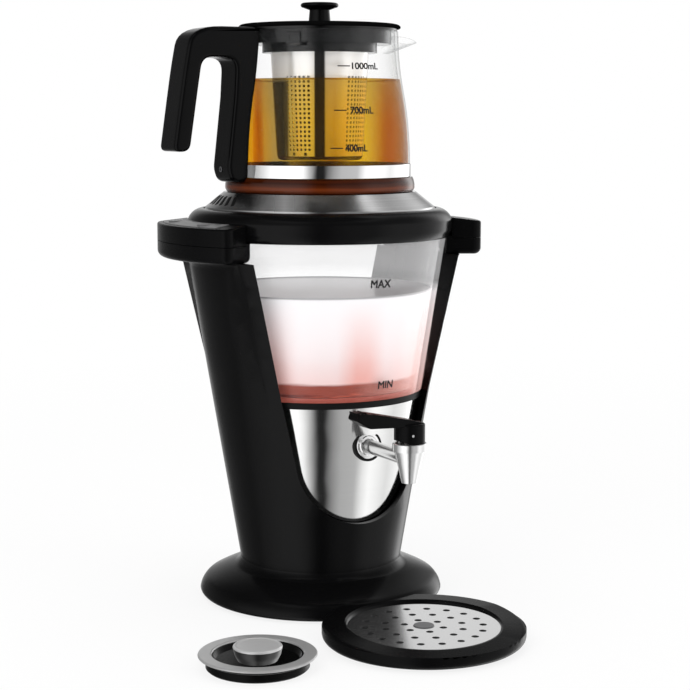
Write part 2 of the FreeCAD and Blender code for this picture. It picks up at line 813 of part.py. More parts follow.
def make_base():
    base_top = s.floor_gap + s.base_thickness
    plate = padded("base_disc", "XY_Plane", [{"circle": (0, 0, s.base_radius)}],
                   s.base_thickness, s.floor_gap)
    holes = []
    screws = []
    feet = []
    for index, angle in enumerate(corner_turns):
        x, y = polar(s.rubber_foot_place, angle + s.base_screw_angle)
        holes.append({"circle": (x, y, s.screw_radius + s.seat_gap)})
        screws.append(turned(f"base_screw{index}", [
            (0, s.floor_gap - s.screw_head_height),
            (s.screw_head_radius, s.floor_gap - s.screw_head_height),
            (s.screw_head_radius, s.floor_gap),
            (s.screw_radius, s.floor_gap),
            (s.screw_radius, s.floor_gap + s.base_screw_length),
            (0, s.floor_gap + s.base_screw_length),
        ]))
        place(screws[-1], x, y, 0)
        foot_x, foot_y = polar(s.rubber_foot_place, angle)
        feet.append(cylinder(f"rubber_foot{index}", s.rubber_foot_radius, s.floor_gap, foot_x, foot_y, 0))
    feet.append(cylinder("rubber_foot_middle", s.rubber_foot_radius, s.floor_gap))
    pocketed(plate, "screw_holes", "XY_Plane", holes)
    posts = []
    half_length = s.board_length / 2 - s.board_post_inset
    half_width = s.board_width / 2 - s.board_post_inset
    for index, (left, front) in enumerate(((-1, -1), (-1, 1), (1, -1), (1, 1))):
        x, y = half_length * left, half_width * front
        posts.append(cylinder(f"board_post{index}", s.board_post_radius, s.board_standoff, x, y, base_top))
    keep(boolean("MultiFuse", "base_plate", plate, *posts))
    keep(group("base_screws", screws))
    keep(group("rubber_feet", feet))
    board_low = base_top + s.board_standoff
    board_top = board_low + s.board_thickness
    board = block("board_sheet", s.board_length, s.board_width, s.board_thickness, 0, 0, board_low)
    relay = block("board_relay", s.relay_length, s.relay_width, s.relay_height,
                  (s.relay_length - s.board_length) / 4, (s.board_width - s.relay_width) / 4, board_top)
    chip = block("board_chip", s.chip_length, s.chip_width, s.chip_height,
                 (s.board_length - s.chip_length) / 3, (s.chip_width - s.board_width) / 4, board_top)
    keep(boolean("MultiFuse", "control_board", board, relay, chip))
    # The bush that the mains lead goes in through, with a flange inside and outside the shell.
    wall_outside = shell_outside(s.gland_height)
    wall_inside = along(s.gland_height, s.shell_low_height, s.shell_low_radius - s.foot_wall,
                        s.bore_low_height, s.bore_low_radius)
    gland = turned("cord_gland", [
        (s.gland_bore_radius, wall_inside - s.gland_inside),
        (s.gland_flange_radius, wall_inside - s.gland_inside),
        (s.gland_flange_radius, wall_inside - s.gland_seat_inside),
        (s.gland_radius, wall_inside - s.gland_seat_inside),
        (s.gland_radius, wall_outside + s.gland_seat_outside),
        (s.gland_flange_radius, wall_outside + s.gland_seat_outside),
        (s.gland_flange_radius - s.gland_flange_bevel, wall_outside + s.gland_outside),
        (s.gland_bore_radius, wall_outside + s.gland_outside),
    ])
    place(gland, 0, 0, s.gland_height, Vector(1, 0, 0), -90)
    keep(gland)


def make_vessel():
    rim = s.steel_rim_height
    floor = s.steel_floor_height
    base_top = s.floor_gap + s.base_thickness
    corner = s.steel_corner
    steel_low = steel_outside(floor + corner)
    steel = turned("vessel_turned", [
        (0, floor),
        (steel_low - corner, floor),
        (steel_low, floor + corner, s.steel_corner_round),
        (steel_outside(rim), rim),
        (steel_outside(rim) - s.steel_flange_width, rim),
        (steel_outside(rim) - s.steel_flange_width, rim - s.steel_wall),
        (steel_outside(rim - s.steel_wall) - s.steel_wall, rim - s.steel_wall),
        (steel_low - s.steel_wall, floor + corner),
        (steel_low - corner, floor + s.steel_wall, s.steel_wall - s.steel_corner_round),
        (0, floor + s.steel_wall),
    ])
    pipe_hole = cylinder("pipe_hole", s.pipe_radius + s.running_gap, s.tap_reach,
                         0, 0, s.tap_height, Vector(1, 0, 0), 90)
    keep(boolean("Cut", "steel_vessel", steel, pipe_hole))
    keep(turned("vessel_gasket", [
        (s.light_radius + s.gasket_overlap, rim),
        (glass_outside(rim) + s.gasket_lip, rim),
        (glass_outside(s.gasket_top_height) + s.gasket_lip, s.gasket_top_height),
        (glass_outside(s.gasket_top_height) + s.running_gap, s.gasket_top_height),
        (glass_outside(s.glass_low_height) + s.running_gap, s.glass_low_height),
        (s.light_radius + s.gasket_overlap, s.glass_low_height),
    ]))
    keep(turned("glass_vessel", [
        (glass_outside(s.glass_low_height) - s.glass_wall, s.glass_low_height),
        (glass_outside(s.glass_low_height), s.glass_low_height),
        (glass_outside(s.glass_top_height), s.glass_top_height),
        (glass_outside(s.glass_top_height) - s.glass_wall, s.glass_top_height),
    ]))
    # A sealed ring light that stands on the gasket, just inside the glass.
    light_out = s.light_outer
    light_low = s.glass_low_height
    light_top = light_low + s.light_height
    shade = turned("light_shade", [
        (s.light_radius, light_low),
        (light_out, light_low),
        (light_out, light_top),
        (s.light_radius, light_top),
    ])
    hollow = turned("light_hollow", [
        (s.light_radius + s.light_wall, light_low + s.light_wall),
        (light_out - s.light_wall, light_low + s.light_wall),
        (light_out - s.light_wall, light_top - s.light_wall),
        (s.light_radius + s.light_wall, light_top - s.light_wall),
    ])
    keep(boolean("Cut", "light_diffuser", shade, hollow))
    keep(turned("led_ring", [
        (s.light_radius + s.light_wall + s.seat_gap, light_low + s.light_wall),
        (light_out - s.light_wall - s.seat_gap, light_low + s.light_wall),
        (light_out - s.light_wall - s.seat_gap, light_low + s.light_wall + s.light_board),
        (s.light_radius + s.light_wall + s.seat_gap, light_low + s.light_wall + s.light_board),
    ]))
    heater_low = floor - s.heater_height
    keep(cylinder("heater_disc", s.heater_radius, s.heater_height, 0, 0, heater_low), "heater_disc")
    keep(cylinder("thermostat", s.thermostat_radius, s.thermostat_height,
                  0, 0, heater_low - s.thermostat_height), "thermostat")
    support = turned("support_tube", [
        (s.support_radius - s.support_wall, base_top),
        (s.support_radius, base_top),
        (s.support_radius, floor),
        (s.support_radius - s.support_wall, floor),
    ])
    lead_hole = cylinder("lead_hole", s.gland_radius, s.foot_radius,
                         0, 0, s.gland_height - s.lead_drop, Vector(1, 0, 0), -90)
    keep(boolean("Cut", "vessel_support", support, lead_hole))


def make_collar():
    glass_top = s.glass_top_height
    groove = glass_outside(glass_top) - s.glass_wall - s.slip_gap
    ceiling = glass_top + s.collar_gasket_thickness
    inner_low = glass_outside(s.collar_low_height) + s.slip_gap
    keep(turned("vessel_collar", [
        (inner_low, s.collar_low_height),
        (inner_low + s.collar_lip, s.collar_low_height),
        (s.collar_radius, s.collar_belt_height, s.collar_belt_round),
        (s.collar_radius, s.collar_shoulder_height),
        (s.collar_inner_radius, s.collar_top_height, s.collar_crown_round),
        (s.collar_inner_radius, s.collar_seat_height),
        (s.collar_seat_radius, s.collar_seat_height),
        (s.collar_seat_radius, s.collar_seat_height - s.collar_seat_thickness),
        (groove, ceiling),
        (glass_outside(glass_top) + s.slip_gap, ceiling),
    ]))
    keep(turned("collar_gasket", [
        (groove + s.slip_gap, glass_top),
        (glass_outside(glass_top), glass_top),
        (glass_outside(glass_top), ceiling),
        (groove + s.slip_gap, ceiling),
    ]))
    sheet_wall = s.warmer_sheet
    cone_sheet = turned("warmer_turned", [
        (s.filling_radius, s.warmer_top_height - sheet_wall),
        (s.filling_radius, s.warmer_top_height),
        (s.warmer_top_radius, s.warmer_top_height),
        (s.warmer_shoulder_radius, s.warmer_shoulder_height),
        (s.warmer_edge_radius, s.warmer_shoulder_height - s.warmer_edge_drop, s.warmer_edge_round),
        (s.warmer_edge_radius, s.collar_seat_height),
        (s.warmer_edge_radius - sheet_wall, s.collar_seat_height),
        (s.warmer_edge_radius - sheet_wall, s.warmer_shoulder_height - s.warmer_edge_drop),
        (s.warmer_shoulder_radius - sheet_wall, s.warmer_shoulder_height - sheet_wall),
        (s.warmer_top_radius - sheet_wall / 2, s.warmer_top_height - sheet_wall),
    ])
    # Six leaning steam slots in the slope, over the left ear.
    cutters = []
    slope_radius = (s.warmer_top_radius + s.warmer_shoulder_radius) / 2
    slope_height = (s.warmer_top_height + s.warmer_shoulder_height) / 2
    vent_count = 6
    for index in range(vent_count):
        cutter = doc.addObject("Part::Box", f"vent_cutter{index}")
        bind(cutter, "Length", s.vent_depth)
        bind(cutter, "Width", s.vent_width)
        bind(cutter, "Height", s.vent_length)
        step = math.degrees((index - (vent_count - 1) / 2) * float(s.vent_step_width / slope_radius))
        half = Vector(float(s.vent_depth), float(s.vent_width), float(s.vent_length)) * 0.5
        middle = Placement(-half, Rotation())
        lean = Placement(Vector(), Rotation(Vector(1, 0, 0), float(s.vent_lean_angle)))
        tilt = Rotation(Vector(0, 1, 0), -float(s.vent_tilt_angle))
        out = Placement(Vector(float(slope_radius), 0, float(slope_height)), tilt)
        swing = Placement(Vector(), Rotation(Vector(0, 0, 1), 180 + step))
        cutter.Placement = swing * out * lean * middle
        cutters.append(cutter)
    keep(boolean("Cut", "warmer_ring", cone_sheet, *cutters))


def ear_outline(low):
    inner = s.ear_step_radius if low else s.ear_inner_radius
    if low:
        return [
            (inner, s.shell_top_height),
            (s.ear_radius, s.shell_top_height),
            (s.ear_radius, s.ear_split_height),
            (s.ear_inner_radius, s.ear_split_height),
            (s.ear_inner_radius - s.slip_gap, s.collar_low_height),
            (inner, s.collar_low_height),
        ]
    return [
        (inner, s.ear_split_height + s.ear_split_gap),
        (s.ear_radius, s.ear_split_height + s.ear_split_gap),
        (s.ear_radius, s.ear_outer_height),
        (inner, s.ear_inner_height),
    ]


def outer_corner(edge):
    # The upright corners at the two ends of an ear's outer face.
    box = edge.BoundBox
    upright = box.ZLength > 3 and box.XLength < 0.01 and box.YLength < 0.01
    reach = math.hypot(box.Center.x, box.Center.y)
    return upright and reach > float(s.ear_radius - s.slip_gap)


def ear_rim(height):
    # The outer edge of an ear at one height, with its rounded corners.
    def wanted(edge):
        box = edge.BoundBox
        level = abs(box.ZMin - float(height)) < float(s.cut_over) and box.ZLength < float(s.cut_over)
        reach = math.hypot(box.Center.x, box.Center.y)
        return level and reach > float(s.ear_radius - s.ear_corner)
    return wanted


def ear_top(radius):
    # Height of an ear's sloping top at a radius.
    return along(radius, s.ear_inner_radius, s.ear_inner_height, s.ear_radius, s.ear_outer_height)


def ear_spot(side, degrees):
    return polar(s.control_radius, (0 if side == "right" else 180) + degrees)


def make_ears():
    screws = []
    for side in ("left", "right"):
        low = turned(f"{side}_ear_low_turned", ear_outline(True), s.ear_sweep_angle)
        rounded(low, "corners", s.ear_corner, outer_corner)
        rounded(low, "under", s.ear_under_round, ear_rim(s.shell_top_height))
        high = turned(f"{side}_ear_high_turned", ear_outline(False), s.ear_sweep_angle)
        rounded(high, "corners", s.ear_corner, outer_corner)
        rounded(high, "top", s.ear_top_round, ear_rim(s.ear_outer_height))
        for half in (low, high):
            place(half, 0, 0, 0, Vector(0, 0, 1), 0 if side == "right" else 180)
        low_cuts = []
        high_cuts = []
        head_low = s.shell_top_height + s.ear_screw_recess
        head_top = head_low + s.screw_head_height
        screw_end = s.ear_split_height + s.ear_thread_depth - s.slip_gap
        for index, degrees in enumerate((-s.ear_screw_angle, s.ear_screw_angle)):
            x, y = ear_spot(side, degrees)
            low_cuts.append(turned(f"{side}_ear_screw_hole{index}", [
                (0, s.shell_top_height - s.cut_over),
                (s.screw_head_radius + s.seat_gap, s.shell_top_height - s.cut_over),
                (s.screw_head_radius + s.seat_gap, head_top),
                (s.screw_radius + s.seat_gap, head_top),
                (s.screw_radius + s.seat_gap, s.collar_low_height + s.cut_over),
                (0, s.collar_low_height + s.cut_over),
            ]))
            high_cuts.append(cylinder(f"{side}_ear_thread{index}", s.screw_radius + s.running_gap,
                                      s.ear_thread_depth, x, y, s.ear_split_height))
            screws.append(turned(f"{side}_ear_screw{index}", [
                (0, head_low),
                (s.screw_head_radius, head_low),
                (s.screw_head_radius, head_top),
                (s.screw_radius, head_top),
                (s.screw_radius, screw_end),
                (0, screw_end),
            ]))
            place(low_cuts[-1], x, y, 0)
            place(screws[-1], x, y, 0)
        if side == "left":
            high_cuts += control_cuts()
        keep(boolean("Cut", f"{side}_ear_lower", low, *low_cuts))
        keep(boolean("Cut", f"{side}_ear_upper", high, *high_cuts))
    keep(group("ear_screws", screws))


def inlay_outline(drop, spread):
    # The flat strip of the controls, laid along the ear's slope and let in by drop.
    half = s.control_inlay_width / 2 + spread
    inner, outer = s.control_radius - half, s.control_radius + half
    return [
        (inner, ear_top(inner) - drop),
        (outer, ear_top(outer) - drop),
        (outer, ear_top(outer) + s.control_inlay_thickness - drop),
        (inner, ear_top(inner) + s.control_inlay_thickness - drop),
    ]


def control_cuts():
    bed_play = s.slip_gap / s.control_radius * (360 / math.pi)
    bed = turned("inlay_bed", inlay_outline(s.control_inlay_set, s.seat_gap),
                 s.control_inlay_angle + bed_play)
    place(bed, 0, 0, 0, Vector(0, 0, 1), 180)
    half_room = s.button_board_width / 2 + s.button_board_play
    room_top = s.ear_split_height + s.button_room_height
    board_room = turned("button_board_room", [
        (s.control_radius - half_room, s.ear_split_height),
        (s.control_radius + half_room, s.ear_split_height),
        (s.control_radius + half_room, room_top),
        (s.control_radius - half_room, room_top),
    ], s.button_board_angle + bed_play * 4)
    place(board_room, 0, 0, 0, Vector(0, 0, 1), 180)
    cuts = [bed, board_room]
    for index, degrees in enumerate((-s.control_spread_angle, s.control_spread_angle)):
        x, y = ear_spot("left", degrees)
        cuts.append(cylinder(f"button_shaft{index}", s.button_radius + s.seat_gap,
                             s.ear_upper_thickness * 2, x, y, s.ear_split_height))
    return cuts


def make_controls():
    strip = turned("inlay_strip", inlay_outline(s.control_inlay_set, 0), s.control_inlay_angle)
    place(strip, 0, 0, 0, Vector(0, 0, 1), 180)
    holes = []
    board_low = s.ear_split_height + s.ear_split_gap
    board_top = board_low + s.board_thickness
    half_board = s.button_board_width / 2
    board = turned("button_board_sheet", [
        (s.control_radius - half_board, board_low),
        (s.control_radius + half_board, board_low),
        (s.control_radius + half_board, board_top),
        (s.control_radius - half_board, board_top),
    ], s.button_board_angle)
    place(board, 0, 0, 0, Vector(0, 0, 1), 180)
    switches = []
    for name, degrees in (("power_button", -s.control_spread_angle), ("warm_button", s.control_spread_angle)):
        x, y = ear_spot("left", degrees)
        holes.append(cylinder(f"{name}_hole", s.button_radius + s.seat_gap,
                              s.ear_upper_thickness * 2, x, y, s.ear_split_height))
        switches.append(block(f"{name}_switch", s.switch_side, s.switch_side, s.switch_height,
                              x, y, board_top))
        button_low = board_top + s.switch_height + s.button_travel + s.seat_gap
        button_top = ear_top(s.control_radius) + s.button_rise
        button = turned(f"{name}_turned", [
            (0, button_low),
            (s.button_radius, button_low),
            (s.button_radius, button_top - s.button_edge),
            (s.button_radius - s.button_edge, button_top, s.button_edge),
            (0, button_top),
        ])
        place(button, x, y, 0)
        keep(button, name)
    keep(boolean("Cut", "control_inlay", strip, *holes))
    keep(boolean("MultiFuse", "button_board", board, *switches))


def make_tap():
    reach = s.tap_reach
    forward = (Vector(1, 0, 0), 90)
    # Along the pipe, own Z runs outwards from the vessel's axis.
    pipe_start = s.tap_nut_face - s.tap_thread_end
    pipe_end = reach - s.nozzle_top_radius + s.nozzle_wall * 2
    pipe = turned("tap_pipe", [
        (s.pipe_bore, pipe_start),
        (s.pipe_radius, pipe_start),
        (s.pipe_radius, pipe_end),
        (s.pipe_bore, pipe_end),
    ])
    place(pipe, 0, 0, s.tap_height, *forward)
    keep(pipe)
    gasket = turned("tap_gasket_blank", [
        (s.pipe_radius + s.running_gap, s.tap_nut_face),
        (s.tap_gasket_radius, s.tap_nut_face),
        (s.tap_gasket_radius, s.tap_gasket_face),
        (s.pipe_radius + s.running_gap, s.tap_gasket_face),
    ])
    place(gasket, 0, 0, s.tap_height, *forward)
    low, high = s.tap_height - s.tap_gasket_radius * 2, s.tap_height + s.tap_gasket_radius * 2
    vessel_cone = cone("vessel_cone", steel_outside(low), steel_outside(high), high - low, low)
    keep(boolean("Cut", "tap_gasket", gasket, vessel_cone))
    flange_face = s.tap_gasket_face + s.tap_flange_thickness
    flange = turned("tap_flange", [
        (s.pipe_radius + s.running_gap, s.tap_gasket_face),
        (s.tap_flange_radius, s.tap_gasket_face),
        (s.tap_flange_radius, flange_face - s.tap_flange_edge),
        (s.tap_flange_radius - s.tap_flange_edge, flange_face, s.tap_flange_edge),
        (s.pipe_radius + s.running_gap, flange_face),
    ])
    place(flange, 0, 0, s.tap_height, *forward)
    keep(flange)
    nut = turned("tap_nut_blank", [
        (s.pipe_radius + s.running_gap, s.tap_nut_face),
        (s.tap_nut_radius, s.tap_nut_face),
        (s.tap_nut_radius, s.tap_gasket_face),
        (s.pipe_radius + s.running_gap, s.tap_gasket_face),
    ])
    place(nut, 0, 0, s.tap_height, *forward)
    skin = s.steel_wall + s.running_gap
    inside_cone = cone("vessel_inside_cone", steel_outside(low) - skin, steel_outside(high) - skin,
                       high - low, low)
    keep(boolean("Common", "tap_nut", nut, inside_cone))

    def taper(height):
        return along(height, s.nozzle_low_height, s.nozzle_low_radius,
                     s.nozzle_top_height, s.nozzle_top_radius)

    seat_low = s.valve_seat_height - s.valve_seat_thickness
    nozzle = turned("nozzle_turned", [
        (s.nozzle_low_radius - s.nozzle_wall, s.nozzle_low_height),
        (s.nozzle_low_radius, s.nozzle_low_height),
        (s.nozzle_top_radius, s.nozzle_top_height),
        (s.nozzle_top_radius - s.nozzle_wall, s.nozzle_top_height),
        (taper(s.valve_seat_height) - s.nozzle_wall, s.valve_seat_height),
        (s.valve_seat_bore, s.valve_seat_height),
        (s.valve_seat_bore, seat_low),
        (taper(seat_low) - s.nozzle_wall, seat_low),
    ])
    place(nozzle, 0, -reach, 0)
    pipe_way = cylinder("pipe_way", s.pipe_radius + s.running_gap, reach, 0, 0, s.tap_height, *forward)
    stop_side = s.tap_gasket_radius * 4
    stop = block("pipe_stop", stop_side, stop_side, stop_side,
                 0, -reach - stop_side / 2, s.tap_height - stop_side / 2)
    keep(boolean("Cut", "tap_nozzle", nozzle, boolean("Cut", "pipe_way_cut", pipe_way, stop)))
    neck_low = s.nozzle_top_height - s.bonnet_neck
    bonnet = turned("bonnet_turned", [
        (s.stem_radius + s.running_gap, neck_low),
        (taper(neck_low) - s.nozzle_wall - s.running_gap, neck_low),
        (s.nozzle_top_radius - s.nozzle_wall - s.running_gap, s.nozzle_top_height),
        (s.bonnet_radius, s.nozzle_top_height),
        (s.bonnet_radius, s.bonnet_top_height - s.bonnet_edge),
        (s.bonnet_radius - s.bonnet_edge, s.bonnet_top_height, s.bonnet_edge),
        (s.stem_radius + s.running_gap, s.bonnet_top_height),
    ])
    place(bonnet, 0, -reach, 0)
    # Two lugs on the bonnet carry the lever's pin, one on each side of the stem's head.
    lug_low = s.bonnet_top_height - s.bonnet_edge
    lug_height = s.lever_pin_height + s.lever_pin_radius * 1.5 - lug_low
    lug_side = s.stem_head_radius + s.lug_thickness / 2 + s.slip_gap
    lugs = [block(f"bonnet_lug{index}", s.lug_length, s.lug_thickness, lug_height,
                  -s.lever_pin_offset, side * lug_side - reach, lug_low)
            for index, side in enumerate((-1, 1))]
    pin_hole = cylinder("lug_pin_hole", s.lever_pin_radius + s.running_gap, s.bonnet_radius * 4,
                        -s.lever_pin_offset, s.bonnet_radius * 2 - reach, s.lever_pin_height, *forward)
    keep(boolean("Cut", "tap_bonnet", boolean("MultiFuse", "bonnet_fused", bonnet, *lugs), pin_hole))
    stem_low = s.valve_seat_height + s.plug_rest
    stem = turned("tap_stem", [
        (0, stem_low + s.plug_height / 2),
        (s.stem_radius, stem_low + s.plug_height / 2),
        (s.stem_radius, s.stem_head_height),
        (s.stem_head_radius, s.stem_head_height),
        (s.stem_head_radius, s.stem_head_height + s.stem_head_thickness),
        (0, s.stem_head_height + s.stem_head_thickness),
    ])
    place(stem, 0, -reach, 0)
    keep(stem)
    plug = turned("tap_plug", [
        (0, stem_low),
        (s.plug_radius, stem_low),
        (s.plug_radius, stem_low + s.plug_height),
        (s.stem_radius, stem_low + s.plug_height),
        (s.stem_radius, stem_low + s.plug_height / 2),
        (0, stem_low + s.plug_height / 2),
    ])
    place(plug, 0, -reach, 0)
    keep(plug)
    make_spring(stem_low + s.plug_height, neck_low)
    make_lever()


def make_spring(low, high):
    # A closed-ended stack of coils round the stem, one ring for each turn.
    rings = []
    turns = int(float(s.spring_turn_count))
    span = high - low - s.spring_wire * 2 - s.running_gap * 2
    for index in range(turns):
        ring = doc.addObject("Part::Torus", f"spring_turn{index}")
        bind(ring, "Radius1", s.spring_radius)
        bind(ring, "Radius2", s.spring_wire)
        place(ring, 0, -s.tap_reach, low + s.spring_wire + s.running_gap + span * (index / (turns - 1)))
        rings.append(ring)
    keep(group("tap_spring", rings))


def make_lever():
    reach = s.tap_reach
    head = turned("lever_head", [
        (0, s.lever_head_low),
        (s.lever_head_radius, s.lever_head_low),
        (s.lever_head_radius, s.lever_head_top - s.lever_head_edge),
        (s.lever_head_radius - s.lever_head_edge, s.lever_head_top, s.lever_head_edge),
        (0, s.lever_head_top),
    ])
    place(head, 0, -reach, 0)
    tip = -s.lever_reach
    top = s.lever_head_top
    root = top - s.lever_roof
    pad_start = tip + s.lever_pad_length
    pad_top = (tip + s.lever_pad_round, s.lever_pad_height)
    pad_tip = (tip, s.lever_pad_height - s.lever_pad_thickness)
    pad_under = (pad_start, top - s.slip_gap)
    arm = padded("lever_arm", "XZ_Plane", [[
        (s.lever_head_radius * 0.6, root),
        (s.lever_head_radius * 0.75, top),
        (0, top + s.lever_arm_rise),
        (pad_start + s.lever_pad_round, s.lever_pad_height - s.slip_gap * 2),
        pad_top,
        pad_tip,
        pad_under,
        (-s.lever_head_radius * 0.8, root),
    ]], s.lever_arm_width, middle=True)
    rounded(arm, "tip_top", s.lever_pad_round, corner_at(*pad_top))
    rounded(arm, "tip_low", s.lever_tip_round, corner_at(*pad_tip))
    rounded(arm, "under", s.lever_under_round, corner_at(*pad_under))
    half = float(s.lever_arm_width) / 2

    def side_edge(edge):
        box = edge.BoundBox
        return box.YLength < 0.01 and abs(abs(box.Center.y) - half) < 0.01

    rounded(arm, "edges", s.lever_edge_round, side_edge)
    place(arm, 0, -reach, 0)
    cavity_half = s.lever_cavity + s.nozzle_wall / 2
    cavity = block("lever_cavity_block", cavity_half * 2 + s.lever_roof, cavity_half * 2,
                   s.lever_head_height - s.lever_roof + s.cut_over,
                   -s.lever_roof / 2, -reach, s.lever_head_low - s.cut_over)
    # The relief lets the arm's side of the head tip down onto the bonnet.
    relief = doc.addObject("Part::Wedge", "lever_relief_wedge")
    relief_length = s.lever_head_radius * 2
    relief_width = s.lever_head_radius * 3
    for name, size in (("Xmin", 0), ("Xmax", relief_length), ("Ymin", 0),
                       ("Ymax", s.lever_relief + s.slip_gap), ("Zmin", 0), ("Zmax", relief_width),
                       ("X2min", 0), ("X2max", s.lever_pin_offset), ("Z2min", 0), ("Z2max", relief_width)):
        bind(relief, name, size)
    place(relief, -s.lever_pin_offset - relief_length + s.slip_gap, relief_width / 2 - reach,
          s.lever_head_low - s.slip_gap, Vector(1, 0, 0), 90)
    pin_hole = cylinder("lever_pin_hole", s.lever_pin_radius, s.lever_head_radius * 4,
                        -s.lever_pin_offset, s.lever_head_radius * 2 - reach, s.lever_pin_height,
                        Vector(1, 0, 0), 90)
    hollow = boolean("Cut", "lever_hollow", boolean("MultiFuse", "lever_fused", head, arm),
                     cavity, relief, pin_hole)
    # Two fork teeth under the stem's head lift it as the arm goes down.
    tooth_inner = s.stem_radius + s.slip_gap
    tooth_outer = cavity_half + s.seat_gap
    tooth_y = (tooth_inner + tooth_outer) / 2
    teeth = [block(f"lever_tooth{index}", s.lever_cavity + s.seat_gap * 3, tooth_outer - tooth_inner,
                   s.lever_tooth, s.lever_cavity / 2 + s.slip_gap, side * tooth_y - reach,
                   s.stem_head_height - s.lever_tooth - s.seat_gap)
             for index, side in enumerate((-1, 1))]
    keep(boolean("MultiFuse", "tap_lever", hollow, *teeth))
    keep(cylinder("lever_pin", s.lever_pin_radius, s.lever_pin_length, -s.lever_pin_offset,
                  s.lever_pin_length / 2 - reach, s.lever_pin_height, Vector(1, 0, 0), 90), "lever_pin")


def spout_run():
    # How far the funnel of the spout would reach if it went on up to the height of the rim.
    return (s.spout_reach - s.pot_rim_radius) * s.spout_depth / (s.spout_depth - s.spout_drop)


def spout_cone(name, shrink):
    # A flat leaning funnel from the wall up past the tip of the lip.
    low_circle = doc.addObject("Part::Circle", f"{name}_low")
    bind(low_circle, "Radius", s.spout_root_radius - shrink)
    root_x = s.pot_rim_radius + s.cut_over - s.spout_root_radius
    place(low_circle, root_x, 0, s.pot_rim_height - s.spout_depth)
    high_circle = doc.addObject("Part::Circle", f"{name}_high")
    bind(high_circle, "Radius", s.spout_half_width - shrink)
    place(high_circle, s.pot_rim_radius + spout_run() - s.spout_half_width, 0, s.pot_rim_height)
    loft = doc.addObject("Part::Loft", name)
    loft.Sections = [low_circle, high_circle]
    loft.Solid = True
    loft.Ruled = True
    return loft


def make_pot():
    low, knee = s.pot_floor_height, s.pot_knee_height
    wall = s.pot_wall
    corner = s.pot_low_round
    outside = [
        (0, low),
        (s.pot_low_radius - corner, low),
        (s.pot_low_radius, low + corner, corner),
        (s.pot_low_radius, knee),
        (s.pot_turn_radius, s.pot_turn_height, s.pot_belly_bow),
        (s.pot_rim_radius, s.pot_rim_height, -s.pot_neck_bow),
        (0, s.pot_rim_height),
    ]
    inside = [
        (0, low + wall),
        (s.pot_low_radius - wall - corner, low + wall),
        (s.pot_low_radius - wall, low + wall + corner, corner),
        (s.pot_low_radius - wall, knee),
        (s.pot_turn_radius - wall, s.pot_turn_height, s.pot_belly_bow),
        (s.pot_rim_radius - wall, s.pot_rim_height, -s.pot_neck_bow),
        (s.pot_rim_radius - wall, s.pot_rim_height + s.cut_over),
        (0, s.pot_rim_height + s.cut_over),
    ]
    full = boolean("MultiFuse", "pot_full", turned("pot_outside", outside), spout_cone("spout_outside", 0))
    hollow = boolean("MultiFuse", "pot_hollow",
                     turned("pot_inside", inside), spout_cone("spout_inside", wall))
    # The lip falls away towards the tip of the spout.
    lip = doc.addObject("Part::Wedge", "spout_lip")
    run = spout_run()
    drop = s.spout_drop * run / (s.spout_reach - s.pot_rim_radius)
    width = s.spout_half_width * 3
    for name, size in (("Xmin", 0), ("Xmax", run), ("Ymin", 0), ("Ymax", drop), ("Zmin", 0),
                       ("Zmax", width), ("X2min", run), ("X2max", run), ("Z2min", 0), ("Z2max", width)):
        bind(lip, name, size)
    place(lip, s.pot_rim_radius + s.slip_gap, -width / 2, s.pot_rim_height + s.running_gap,
          Vector(1, 0, 0), -90)
    keep(boolean("Cut", "pot_glass", full, hollow, lip))
    ring_low = s.warmer_top_height + s.seat_gap
    glass_seat = s.pot_low_radius + s.running_gap
    keep(turned("pot_base_ring", [
        (s.base_ring_inner, ring_low),
        (s.base_ring_radius - s.base_ring_under, ring_low),
        (s.base_ring_radius, ring_low + s.base_ring_belly, s.base_ring_belly_round),
        (s.base_ring_radius - s.base_ring_under, s.base_ring_top, s.base_ring_round),
        (glass_seat, s.base_ring_top),
        (glass_seat, low + corner),
        (glass_seat - corner, low, -corner),
        (s.base_ring_inner, low),
    ]))
    keep(turned("pot_band", [
        (glass_seat, s.band_low_height),
        (glass_seat + s.band_thickness, s.band_low_height),
        (glass_seat + s.band_thickness, knee),
        (glass_seat, knee),
    ]))
    make_handle(glass_seat + s.band_thickness)


